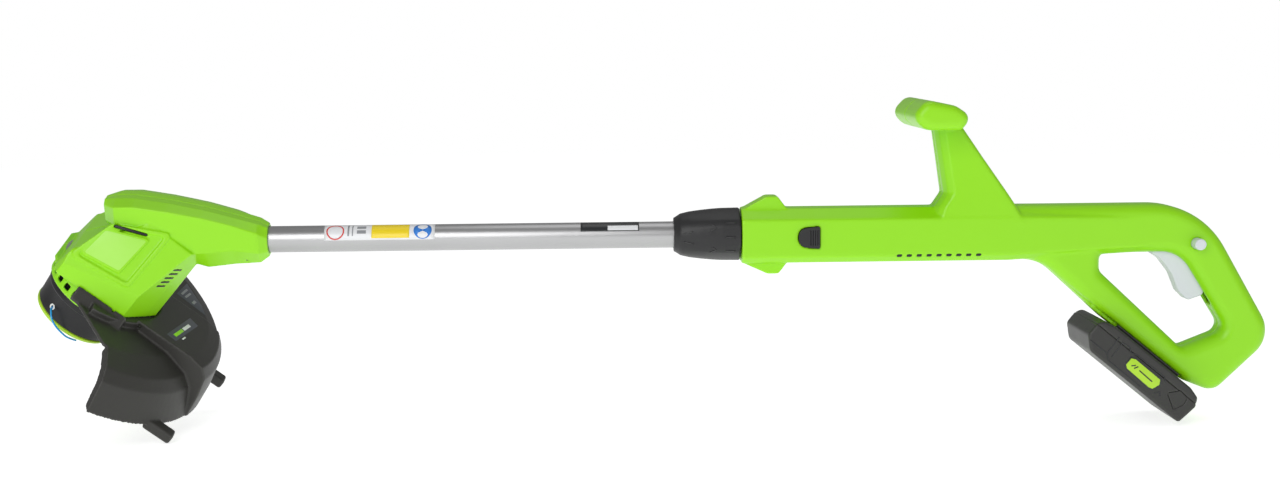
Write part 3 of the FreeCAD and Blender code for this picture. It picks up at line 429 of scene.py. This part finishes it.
# Round pieces, turned about an axis of their own frame
def turnedMesh(name, profile, place, axis="Z", steps=96):
    # The profile holds (radius, height) pairs, and its end joins back to its start.
    work = bmesh.new()
    rows = []
    for radius, height in profile:
        row = []
        for k in range(steps):
            angle = 2 * math.pi * k / steps
            side, up = radius * math.cos(angle), radius * math.sin(angle)
            spot = (side, up, height) if axis == "Z" else (height, side, up)
            row.append(work.verts.new(place @ Vector(spot)))
        rows.append(row)
    for low, high in list(zip(rows, rows[1:])) + [(rows[-1], rows[0])]:
        for k in range(steps):
            after = (k + 1) % steps
            work.faces.new((low[k], low[after], high[after], high[k]))
    bmesh.ops.recalc_face_normals(work, faces=work.faces)
    mesh = bpy.data.meshes.new(name)
    work.to_mesh(mesh)
    work.free()
    return mesh


def softCorners(piece, width, limit=25.0):
    bevel = piece.modifiers.new("softCorners", "BEVEL")
    bevel.width = width
    bevel.segments = 3
    bevel.limit_method = "ANGLE"
    bevel.angle_limit = math.radians(limit)
    even = piece.modifiers.new("evenShade", "WEIGHTED_NORMAL")
    even.keep_sharp = True
    applyModifiers(piece)
    smoothShade(piece.data)


def settle(piece, body, slot, *replaced):
    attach(piece, body)
    if replaced:
        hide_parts(*replaced)
    return piece


tubeLook = {"radius": 0.012, "wall": 0.0012, "start": -0.058, "end": 0.640, "bevel": 0.0003}


def buildTube():
    outer, inner = tubeLook["radius"], tubeLook["radius"] - tubeLook["wall"]
    start, end = tubeLook["start"], tubeLook["end"]
    profile = [(outer, start), (outer, end), (inner, end), (inner, start)]
    mesh = turnedMesh("shaftTube", profile, headFrame, "X", 128)
    piece = addPiece("shaftTube", mesh, "tubeAluminium")
    softCorners(piece, tubeLook["bevel"])
    return settle(piece, "head", "tube_aluminium", "shaft_tube")


buildTube()
print("tube built")

collarLook = {"start": 0.366, "length": 0.060, "flats": 6, "flatDepth": 0.0010,
              "bore": 0.01426, "nose": 0.0124}


def collarRadius(along, angle):
    # A barrel profile with shallow flats that fade out toward the nose.
    stations = [(0.0, 0.0154), (0.0015, 0.0160), (0.006, 0.0190), (0.014, 0.0209),
                (0.024, 0.0222), (0.034, 0.0232), (0.043, 0.0238), (0.059, 0.0240), (0.060, 0.0233)]
    radius = stations[-1][1]
    for (x0, r0), (x1, r1) in zip(stations, stations[1:]):
        if x0 <= along <= x1:
            radius = r0 + (r1 - r0) * (along - x0) / (x1 - x0)
            break
    step = 2 * math.pi / collarLook["flats"]
    off = (angle + step / 2) % step - step / 2
    fade = min(1.0, max(0.0, (along - 0.008) / 0.03))
    dip = collarLook["flatDepth"] * fade * max(0.0, 1 - (off / (step * 0.36)) ** 2)
    return radius - dip


def buildCollar():
    work = bmesh.new()
    steps, rings = 144, 48
    rows = []
    for j in range(rings + 1):
        along = collarLook["length"] * j / rings
        row = []
        for k in range(steps):
            angle = 2 * math.pi * k / steps
            radius = collarRadius(along, angle)
            row.append(work.verts.new(toolFrame @ Vector((
                collarLook["start"] + along, radius * math.cos(angle), radius * math.sin(angle)))))
        rows.append(row)
    for radius, along in ((collarLook["bore"], collarLook["length"]), (collarLook["bore"], 0.004),
                          (collarLook["nose"], 0.004), (collarLook["nose"], 0.0)):
        row = []
        for k in range(steps):
            angle = 2 * math.pi * k / steps
            row.append(work.verts.new(toolFrame @ Vector((
                collarLook["start"] + along, radius * math.cos(angle), radius * math.sin(angle)))))
        rows.append(row)
    for low, high in list(zip(rows, rows[1:])) + [(rows[-1], rows[0])]:
        for k in range(steps):
            after = (k + 1) % steps
            work.faces.new((low[k], low[after], high[after], high[k]))
    bmesh.ops.recalc_face_normals(work, faces=work.faces)
    mesh = bpy.data.meshes.new("lockCollar")
    work.to_mesh(mesh)
    work.free()
    piece = addPiece("lockCollar", mesh, "collarBlack")
    softCorners(piece, 0.0005, 35.0)
    return settle(piece, "collar", "black_plastic", "lock_collar")


buildCollar()
print("collar built")

drumLook = {"top": -0.1435, "height": 0.027, "topRadius": 0.0405, "lowRadius": 0.037,
            "wall": 0.0024, "capRadius": 0.038, "capHeight": 0.0045, "knob": 0.014}


def buildDrum():
    top, low = drumLook["top"], drumLook["top"] - drumLook["height"]
    rTop, rLow, wall = drumLook["topRadius"], drumLook["lowRadius"], drumLook["wall"]
    profile = [(0.0026, top), (rTop - 0.004, top), (rTop - 0.003, top + 0.0005),
               (rTop - 0.0005, top + 0.0005), (rTop, top - 0.001), (rTop - 0.0002, top - 0.005),
               (rTop - 0.0010, top - 0.0056), (rLow + 0.0008, low + 0.0052),
               (rLow + 0.0006, low + 0.0006), (rLow, low), (rLow - wall, low),
               (rTop - wall - 0.0006, top - wall), (0.0026, top - wall)]
    mesh = turnedMesh("spoolDrum", profile, spoolFrame, "Z", 128)
    piece = addPiece("spoolDrum", mesh, "drumBlack")
    softCorners(piece, 0.0005)
    settle(piece, "spool", "black_plastic", "spool_drum")
    rCap, capLow = drumLook["capRadius"], low - drumLook["capHeight"]
    knob = drumLook["knob"]
    profile = [(0.0001, low - 0.001), (rCap - 0.001, low - 0.0002), (rCap, low - 0.001),
               (rCap - 0.0006, capLow + 0.0012), (rCap - 0.0022, capLow),
               (rCap - 0.008, capLow - 0.0004), (knob + 0.004, capLow), (knob + 0.001, capLow - 0.0005),
               (knob, capLow - 0.0045), (knob - 0.002, capLow - 0.005), (0.0001, capLow - 0.005)]
    mesh = turnedMesh("spoolCap", profile, spoolFrame, "Z", 128)
    piece = addPiece("spoolCap", mesh, "limeRim")
    softCorners(piece, 0.0004)
    settle(piece, "spool", "lime_cap", "spool_cap")


buildDrum()

eyeletLook = {"turn": -123.0, "height": -0.162, "start": 0.0326, "end": 0.0386,
              "outer": 0.0030, "bore": 0.0010}


def buildEyelets():
    work = bmesh.new()
    for turn in (eyeletLook["turn"], eyeletLook["turn"] + 180):
        face = spoolFrame @ turnAbout(turn, "Z") @ shiftBy(0, 0, eyeletLook["height"])
        outer, bore, end = eyeletLook["outer"], eyeletLook["bore"], eyeletLook["end"]
        profile = [(outer, eyeletLook["start"]), (outer, end - 0.0006), (outer - 0.0005, end),
                   (bore + 0.0009, end + 0.0002), (bore + 0.0002, end - 0.0002), (bore, end - 0.001),
                   (bore, eyeletLook["start"])]
        mesh = turnedMesh("eyeletPart", profile, face, "X", 40)
        work.from_mesh(mesh)
        bpy.data.meshes.remove(mesh)
    mesh = bpy.data.meshes.new("lineEyelets")
    work.to_mesh(mesh)
    work.free()
    piece = addPiece("lineEyelets", mesh, "eyeletWhite")
    softCorners(piece, 0.0003)
    return settle(piece, "spool", "white_ceramic", "line_eyelets")


buildEyelets()
print("spool built")

# Cutting line: (degrees about the spool, radius, height), in the spool's frame
lineLook = {"diameter": 0.00165, "route": [
    (-123, 0.030, -0.162), (-123, 0.0395, -0.162), (-117, 0.043, -0.163), (-111, 0.0453, -0.1658),
    (-105, 0.0457, -0.1683), (-99, 0.0443, -0.1707), (-91, 0.0416, -0.1734),
    (-80, 0.0385, -0.1764), (-66, 0.034, -0.1774)]}


def buildLine():
    curve = bpy.data.curves.new("cuttingLine", "CURVE")
    curve.dimensions = "3D"
    curve.bevel_depth = lineLook["diameter"] / 2
    curve.bevel_resolution = 6
    curve.use_fill_caps = True
    spline = curve.splines.new("NURBS")
    route = lineLook["route"]
    points = []
    for degrees, radius, height in route:
        angle = math.radians(degrees)
        points.append(spoolFrame @ Vector((radius * math.cos(angle), radius * math.sin(angle), height)))
    spline.points.add(len(points) - 1)
    for point, spot in zip(spline.points, points):
        point.co = (*spot, 1.0)
    spline.order_u = 3
    spline.use_endpoint_u = True
    spline.resolution_u = 12
    piece = bpy.data.objects.new("cuttingLine", curve)
    bpy.context.scene.collection.objects.link(piece)
    curve.materials.append(finishes["lineBlue"])
    settle(piece, "spool", "blue_line", "cutting_line")


buildLine()


# Labels, drawn as thin patches that follow the surface under them
def wrapPatch(name, look, lift=0.00012):
    # A patch on the tube between two stations and two angles above the near side.
    work = bmesh.new()
    wide, high = 24, 12
    grid = []
    for i in range(wide + 1):
        x = look["from"] + (look["to"] - look["from"]) * i / wide
        column = []
        for j in range(high + 1):
            angle = math.radians(look["low"] + (look["high"] - look["low"]) * j / high)
            radius = tubeLook["radius"] + lift
            column.append(work.verts.new(toolFrame @ Vector((
                x, -radius * math.cos(angle), radius * math.sin(angle)))))
        grid.append(column)
    for i in range(wide):
        for j in range(high):
            work.faces.new((grid[i][j], grid[i + 1][j], grid[i + 1][j + 1], grid[i][j + 1]))
    mesh = bpy.data.meshes.new(name)
    work.to_mesh(mesh)
    work.free()
    piece = addPiece(name, mesh, look["finish"])
    solid = piece.modifiers.new("film", "SOLIDIFY")
    solid.thickness = 0.0001
    solid.offset = -1
    applyModifiers(piece)
    smoothShade(piece.data)
    return settle(piece, "head", "tube_aluminium")


def wrapRing(name, look, lift=0.00024):
    # A ring or disc on the tube, around a station and an angle.
    work = bmesh.new()
    steps = 48
    rows = []
    for radius in (look["inner"], look["outer"]):
        row = []
        for k in range(steps):
            turn = 2 * math.pi * k / steps
            x = look["at"] + radius * math.cos(turn)
            angle = math.radians(look["angle"]) + radius * math.sin(turn) / tubeLook["radius"]
            reach = tubeLook["radius"] + lift
            row.append(work.verts.new(toolFrame @ Vector((
                x, -reach * math.cos(angle), reach * math.sin(angle)))))
        rows.append(row)
    for k in range(steps):
        after = (k + 1) % steps
        work.faces.new((rows[0][k], rows[0][after], rows[1][after], rows[1][k]))
    mesh = bpy.data.meshes.new(name)
    work.to_mesh(mesh)
    work.free()
    piece = addPiece(name, mesh, look["finish"])
    solid = piece.modifiers.new("film", "SOLIDIFY")
    solid.thickness = 0.0001
    solid.offset = -1
    applyModifiers(piece)
    smoothShade(piece.data)
    return settle(piece, "head", "tube_aluminium")


tubeLabels = {
    "labelStrip": {"from": 0.0505, "to": 0.1500, "low": -2, "high": 88, "finish": "labelWhite"},
    "labelBlock": {"from": 0.2815, "to": 0.3345, "low": 24, "high": 88, "finish": "labelBlack"},
}
stripMarks = {
    "labelBarA": {"from": 0.0715, "to": 0.0730, "low": 16, "high": 76, "finish": "labelGrey"},
    "labelBarB": {"from": 0.0755, "to": 0.0765, "low": 16, "high": 76, "finish": "labelGrey"},
    "labelBarC": {"from": 0.0800, "to": 0.0880, "low": 26, "high": 42, "finish": "labelGrey"},
    "labelBarD": {"from": 0.0800, "to": 0.0880, "low": 50, "high": 66, "finish": "labelGrey"},
    "labelGold": {"from": 0.0930, "to": 0.1270, "low": 6, "high": 84, "finish": "labelYellow"},
    "labelPlain": {"from": 0.3060, "to": 0.3335, "low": 28, "high": 52, "finish": "labelWhite"},
}
stripRings = {
    "labelRing": {"at": 0.0605, "angle": 38, "inner": 0.0068, "outer": 0.0080, "finish": "labelRed"},
    "labelDisc": {"at": 0.1390, "angle": 40, "inner": 0.0001, "outer": 0.0082, "finish": "labelBlue"},
}
for name, look in tubeLabels.items():
    wrapPatch(name, look)
for name, look in stripMarks.items():
    wrapPatch(name, look, 0.00022)
for name, look in stripRings.items():
    wrapRing(name, look)


def flatPatch(name, corners, place, finish, body, slot, lift, thick, corner=0.0):
    # The corners lie on the frame's XZ plane, and the patch stands off it toward -Y.
    work = bmesh.new()
    verts = [work.verts.new((x, 0, z)) for x, z in corners]
    work.faces.new(verts)
    if corner:
        bmesh.ops.bevel(work, geom=verts, offset=corner, segments=5, affect="VERTICES", profile=0.5)
    bmesh.ops.recalc_face_normals(work, faces=work.faces)
    shape = bmesh.ops.extrude_face_region(work, geom=list(work.faces))
    moved = [v for v in shape["geom"] if isinstance(v, bmesh.types.BMVert)]
    bmesh.ops.translate(work, verts=moved, vec=(0, -thick, 0))
    bmesh.ops.translate(work, verts=work.verts, vec=(0, -lift + thick, 0))
    bmesh.ops.recalc_face_normals(work, faces=work.faces)
    mesh = bpy.data.meshes.new(name)
    work.to_mesh(mesh)
    work.free()
    mesh.transform(place)
    piece = addPiece(name, mesh, finish)
    softCorners(piece, min(thick * 0.3, 0.0003))
    return settle(piece, body, slot)


def flatBar(name, start, end, width, place, finish, body, slot, lift, thick):
    # A straight strip between two points of the frame's XZ plane.
    run = Vector((end[0] - start[0], end[1] - start[1])).normalized() * width / 2
    corners = [(start[0] - run.y, start[1] + run.x), (end[0] - run.y, end[1] + run.x),
               (end[0] + run.y, end[1] - run.x), (start[0] + run.y, start[1] - run.x)]
    return flatPatch(name, corners, place, finish, body, slot, lift, thick)


def flatLine(name, points, width, place, finish, body, slot, lift, thick):
    for k, (start, end) in enumerate(zip(points, points[1:])):
        flatBar(name + str(k + 1), start, end, width, place, finish, body, slot, lift, thick)


packLabel = {"frame": [(0.0350, -0.0225), (0.0355, -0.0130), (0.0400, -0.0108), (0.0715, -0.0112),
                       (0.0748, -0.0165), (0.0715, -0.0250), (0.0670, -0.0262), (0.0390, -0.0252)],
             "plate": [(0.0370, -0.0215), (0.0372, -0.0142), (0.0408, -0.0124), (0.0706, -0.0128),
                       (0.0730, -0.0168), (0.0703, -0.0236), (0.0668, -0.0246), (0.0398, -0.0237)],
             "marks": [((0.0415, -0.0195), (0.0445, -0.0165)), ((0.0450, -0.0198), (0.0470, -0.0160)),
                       ((0.0500, -0.0182), (0.0660, -0.0188))],
             "seams": [[(-0.0030, -0.0245), (0.0170, -0.0245), (0.0215, -0.0285), (0.0600, -0.0290)],
                       [(0.0170, -0.0245), (0.0160, -0.0060)],
                       [(0.0225, -0.0245), (0.0215, -0.0080), (0.0300, -0.0075), (0.0330, -0.0105)],
                       [(0.0330, -0.0105), (0.0400, -0.0085), (0.0720, -0.0085), (0.0760, -0.0120)],
                       [(0.0740, -0.0255), (0.0780, -0.0215), (0.0800, -0.0245)]],
             "halfWidth": 0.038}


def buildPackLabel():
    side = batteryFrame @ shiftBy(0, -packLabel["halfWidth"], 0)
    flatPatch("packLabelFrame", packLabel["frame"], side, "labelBlack", "battery",
              "battery_plastic", 0.0002, 0.0012)
    flatPatch("packLabelPlate", packLabel["plate"], side, "limeRim", "battery",
              "lime_cap", 0.0004, 0.0012)
    for k, (start, end) in enumerate(packLabel["marks"]):
        flatBar("packMark" + str(k + 1), start, end, 0.0012, side, "labelBlack", "battery",
                "battery_plastic", 0.00055, 0.0006)
    for k, line in enumerate(packLabel["seams"]):
        flatLine("packSeam" + "ABCDE"[k], line, 0.0010, side, "labelBlack", "battery",
                 "battery_plastic", 0.0004, 0.0008)


buildPackLabel()

guardMarks = {
    "plate": [(0.0788, -0.0302), (0.0908, 0.0226), (0.1008, 0.0184), (0.0889, -0.0315)],
    "plateBars": [("limeShell", (0.0858, -0.0240), (0.0898, -0.0065), 0.0034),
                  ("labelWhite", (0.0902, -0.0048), (0.0935, 0.0095), 0.0034),
                  ("labelWhite", (0.0935, -0.0215), (0.0950, -0.0150), 0.0016)],
    "panel": [(0.0700, 0.0590), (0.0740, 0.0900), (0.0960, 0.0690), (0.1040, 0.0560)],
    "panelBars": [("labelGrey", (0.0745, 0.0640), (0.0770, 0.0790), 0.0022),
                  ("labelGrey", (0.0790, 0.0630), (0.0815, 0.0760), 0.0022),
                  ("labelGrey", (0.0880, 0.0610), (0.0890, 0.0680), 0.0030)],
    "plateHeight": -0.121, "wingHeight": -0.126,
}


def buildGuardMarks():
    faceUp = turnAbout(-90, "X")
    plate = bellFrame @ shiftBy(0, 0, guardMarks["plateHeight"]) @ faceUp
    wing = bellFrame @ shiftBy(0, 0, guardMarks["wingHeight"]) @ faceUp
    flatPatch("guardPlateLabel", guardMarks["plate"], plate, "labelSlate", "head",
              "guard_plastic", 0.00015, 0.0006)
    flatPatch("guardWingPanel", guardMarks["panel"], wing, "labelSlate", "head",
              "guard_plastic", 0.00015, 0.0006)
    for place, key in ((plate, "plateBars"), (wing, "panelBars")):
        for k, (finish, start, end, width) in enumerate(guardMarks[key]):
            flatBar(key + str(k + 1), start, end, width, place, finish, "head",
                    "guard_plastic", 0.0003, 0.0005)


buildGuardMarks()

ventShadeLook = {"first": 0.567, "step": 0.009, "count": 9, "low": -0.0208, "high": -0.0180,
            "face": 0.0217, "depth": 0.006}


def buildVentPaintedShade():
    # Dark patches set just inside the vent slots: painted shade for the dark depths of the slots.
    side = toolFrame @ shiftBy(0, -ventShadeLook["face"], 0)
    for k in range(ventShadeLook["count"]):
        x0 = ventShadeLook["first"] + ventShadeLook["step"] * k
        low, high = ventShadeLook["low"], ventShadeLook["high"]
        corners = [(x0 + 0.0001, low + 0.0002), (x0 + 0.0001, high - 0.0001), (x0 + 0.0049, high - 0.0001),
                   (x0 + 0.0049, high - 0.0010), (x0 + 0.0040, low + 0.0002)]
        flatPatch("ventPaintedShade" + str(k + 1), corners, side, "drumBlack", "handle",
                  "black_plastic", 0.0, ventShadeLook["depth"])


buildVentPaintedShade()

headPaintedShadeAndSheen = {
    "slitCount": 5, "slitFirst": (0.037, -0.050, -0.084), "slitAlong": (0.5473, 0.8370, 0.0),
    "slitStart": 0.014, "slitShift": 0.0013, "slitStep": 0.005, "slitLength": 0.012,
    "slitHalf": 0.0010,
    "slopeFoot": (-0.032, -0.050, -0.111), "slopeAlong": (0.9794, 0.0, 0.2017),
    "slopeOut": (-0.0838, -0.9095, 0.4071),
    "topSlot": [(0.0243, 0.0464), (0.0538, 0.0516), (0.0543, 0.0536), (0.0252, 0.0490)],
    "panel": [(0.0122, 0.0162), (0.0203, 0.0413), (0.0558, 0.0477), (0.0457, 0.0137)],
}


def buildHeadPaintedShadeAndSheen():
    # Dark patches in the slits and the top slot are painted shade for their depths, and the paler colour of
    # the panel on the slope is a painted reflection of the lamps.
    along = Vector(headPaintedShadeAndSheen["slitAlong"])
    turn = math.degrees(math.atan2(along.y, along.x))
    half, length = headPaintedShadeAndSheen["slitHalf"], headPaintedShadeAndSheen["slitLength"]
    for k in range(headPaintedShadeAndSheen["slitCount"]):
        start = Vector(headPaintedShadeAndSheen["slitFirst"]) + Vector((0, 0, headPaintedShadeAndSheen["slitStep"] * k))
        start += along * (headPaintedShadeAndSheen["slitStart"] + headPaintedShadeAndSheen["slitShift"] * k)
        place = bellFrame @ Matrix.Translation(start) @ turnAbout(turn, "Z")
        corners = [(0.0003, -half), (length - 0.0003, -half), (length - 0.0003, half), (0.0003, half)]
        flatPatch("slitPaintedShade" + str(k + 1), corners, place, "drumBlack", "head",
                  "black_plastic", 0.0001, 0.0020)
    out = Vector(headPaintedShadeAndSheen["slopeOut"]).normalized()
    right = Vector(headPaintedShadeAndSheen["slopeAlong"]).normalized()
    up = out.cross(right).normalized()
    foot = Vector(headPaintedShadeAndSheen["slopeFoot"])
    slope = bellFrame @ Matrix((
        (right.x, -out.x, up.x, foot.x), (right.y, -out.y, up.y, foot.y),
        (right.z, -out.z, up.z, foot.z), (0, 0, 0, 1)))
    flatPatch("slotPaintedShade", headPaintedShadeAndSheen["topSlot"], slope, "drumBlack", "head",
              "black_plastic", -0.0008, 0.0020)
    # Painted reflection: the panel on the slope gets a paler lime.
    flatPatch("slopePanelPaintedSheen", headPaintedShadeAndSheen["panel"], slope, "limePanelPaintedSheen", "head",
              "lime_shell", 0.0019, 0.0010, 0.0020)


buildHeadPaintedShadeAndSheen()

chevrons = {"paths": [[(0.398, 12), (0.4035, 20), (0.4000, 27)], [(0.398, -40), (0.4035, -32), (0.4000, -25)],
                      [(0.3745, 8), (0.3830, 12)], [(0.3745, -14), (0.3830, -18)],
                      [(0.412, 30), (0.421, 30)], [(0.412, -2), (0.421, -2)], [(0.412, -34), (0.421, -34)]],
            "width": 0.0009, "rise": 0.0004}


def surfaceStrip(name, path, width, reach, finish, body, slot):
    # A narrow raised strip on a round part, through (station, degrees above the near side).
    work = bmesh.new()
    rows = []
    for k, (x, degrees) in enumerate(path):
        before, after = path[max(k - 1, 0)], path[min(k + 1, len(path) - 1)]
        radius = reach(x)
        run = Vector((after[0] - before[0], math.radians(after[1] - before[1]) * radius)).normalized()
        row = []
        for side in (-0.5, 0.5):
            spotX = x - run.y * side * width
            angle = math.radians(degrees) + run.x * side * width / radius
            row.append(work.verts.new(toolFrame @ Vector((
                spotX, -radius * math.cos(angle), radius * math.sin(angle)))))
        rows.append(row)
    for low, high in zip(rows, rows[1:]):
        work.faces.new((low[0], high[0], high[1], low[1]))
    mesh = bpy.data.meshes.new(name)
    work.to_mesh(mesh)
    work.free()
    piece = addPiece(name, mesh, finish)
    solid = piece.modifiers.new("film", "SOLIDIFY")
    solid.thickness = 0.0008
    solid.offset = 0
    applyModifiers(piece)
    smoothShade(piece.data)
    return settle(piece, body, slot)


for index, path in enumerate(chevrons["paths"]):
    finePath = []
    for (x0, a0), (x1, a1) in zip(path, path[1:]):
        for step in range(4):
            finePath.append((x0 + (x1 - x0) * step / 4, a0 + (a1 - a0) * step / 4))
    finePath.append(path[-1])
    surfaceStrip("collarMark" + str(index + 1), finePath, chevrons["width"],
                 lambda x: collarRadius(x - collarLook["start"], 0.5) + 0.0001,
                 "collarBlack", "collar", "black_plastic")
print("labels built")


# Carried-over solids keep their shape and get finishes
carriedFinishes = {
    "handle_screws": "darkSteel", "clamp_collet": "collarBlack", "trigger_pin": "brightSteel",
    "trigger_switch": "drumBlack", "switch_plunger": "paleGrey", "terminal_block": "drumBlack",
    "terminal_blades": "copperAlloy", "control_board": "boardGreen", "board_parts": "drumBlack",
    "twist_sleeve": "collarBlack", "motor_lead": "leadRubber", "head_screws": "darkSteel",
    "motor_plate": "brightSteel", "motor_can": "brightSteel", "motor_end_cap": "drumBlack",
    "motor_magnets": "darkSteel", "motor_bushes": "copperAlloy", "motor_plate_screws": "darkSteel",
    "guard_screws": "darkSteel", "line_cutter": "brightSteel", "motor_shaft": "brightSteel",
    "motor_rotor": "darkSteel", "motor_commutator": "copperAlloy", "reel_spring": "brightSteel",
    "line_reel": "drumBlack", "wound_line": "lineBlue", "battery_cells": "cellWrap",
    "battery_contacts": "copperAlloy",
}
for nodeName, finish in carriedFinishes.items():
    carried = nodes[nodeName]
    carried.data.materials.clear()
    carried.data.materials.append(finishes[finish])
print("carried nodes finished:", len(carriedFinishes))


# Studio: a pale round floor, a large soft key, a fill and a pale surround
studio = {"floorGap": 0.0005, "radius": 4.0, "steps": 96, "paper": (0.90, 0.905, 0.91),
          "surround": 0.34, "backdrop": 1.0, "glow": 0.68}


def buildFloor():
    work = bmesh.new()
    ring = []
    for k in range(studio["steps"]):
        turn = 2 * math.pi * k / studio["steps"]
        ring.append(work.verts.new((studio["radius"] * math.cos(turn), studio["radius"] * math.sin(turn),
                                    -studio["floorGap"])))
    work.faces.new(ring)
    mesh = bpy.data.meshes.new("paleFloor")
    work.to_mesh(mesh)
    work.free()
    material = bpy.data.materials.new("floorPaper")
    material.use_nodes = True
    tree = material.node_tree
    shader = tree.nodes["Principled BSDF"]
    drift = addNode(tree, "ShaderNodeGroup", node_tree=colourDrift)
    drift.inputs["Colour"].default_value = withAlpha(studio["paper"])
    drift.inputs["Far Colour"].default_value = withAlpha([c * 0.99 for c in studio["paper"]])
    drift.inputs["Scale"].default_value = 2.0
    tree.links.new(drift.outputs["Colour"], shader.inputs["Base Color"])
    shader.inputs["Roughness"].default_value = 0.9
    shader.inputs["Emission Color"].default_value = (1.0, 1.0, 1.0, 1.0)
    shader.inputs["Emission Strength"].default_value = studio["glow"]
    floor = bpy.data.objects.new("paleFloor", mesh)
    bpy.context.scene.collection.objects.link(floor)
    mesh.materials.append(material)


buildFloor()

lampLooks = {
    "keyLamp": {"at": (-0.9, -2.2, 1.2), "aim": (0.0, 0.0, 0.2), "size": 1.6, "power": 27.0},
    "fillLamp": {"at": (1.5, -2.0, 0.7), "aim": (0.1, 0.0, 0.2), "size": 1.4, "power": 4.0},
    "topLamp": {"at": (0.1, 0.3, 2.2), "aim": (0.0, 0.0, 0.2), "size": 1.2, "power": 4.5},
}


def buildLamps():
    for name, look in lampLooks.items():
        data = bpy.data.lights.new(name, "AREA")
        data.shape = "SQUARE"
        data.size = look["size"]
        data.energy = look["power"]
        lamp = bpy.data.objects.new(name, data)
        bpy.context.scene.collection.objects.link(lamp)
        lamp.location = look["at"]
        way = Vector(look["aim"]) - Vector(look["at"])
        lamp.rotation_euler = way.to_track_quat("-Z", "Y").to_euler()
    world = bpy.data.worlds.new("paleStudio")
    world.use_nodes = True
    # The surround lights the tool softly, and is seen directly as plain white.
    sky = world.node_tree.nodes["Background"]
    sky.inputs["Color"].default_value = (1.0, 1.0, 1.0, 1.0)
    seen = world.node_tree.nodes.new("ShaderNodeLightPath")
    level = addNode(world.node_tree, "ShaderNodeMapRange")
    level.inputs["To Min"].default_value = studio["surround"]
    level.inputs["To Max"].default_value = studio["backdrop"]
    world.node_tree.links.new(seen.outputs["Is Camera Ray"], level.inputs["Value"])
    world.node_tree.links.new(level.outputs["Result"], sky.inputs["Strength"])
    bpy.context.scene.world = world
    bpy.context.scene.view_settings.view_transform = "Standard"


buildLamps()

view = {"at": (0.2921, -1.6098, 0.1768), "up": (0.0122, 0.11533, 0.99325),
        "ahead": (0.0267, 0.99293, -0.11563), "lens": 50.0, "sensor": 36.0}


def buildCamera():
    data = bpy.data.cameras.new("viewer")
    data.lens = view["lens"]
    data.sensor_width = view["sensor"]
    camera = bpy.data.objects.new("viewer", data)
    bpy.context.scene.collection.objects.link(camera)
    ahead = Vector(view["ahead"]).normalized()
    right = ahead.cross(Vector(view["up"])).normalized()
    up = right.cross(ahead)
    spot = neckMouth + Vector(view["at"])
    place = Matrix((
        (right.x, up.x, -ahead.x, spot.x), (right.y, up.y, -ahead.y, spot.y),
        (right.z, up.z, -ahead.z, spot.z), (0, 0, 0, 1)))
    camera.matrix_world = place
    bpy.context.scene.camera = camera


buildCamera()
print("studio and camera ready")
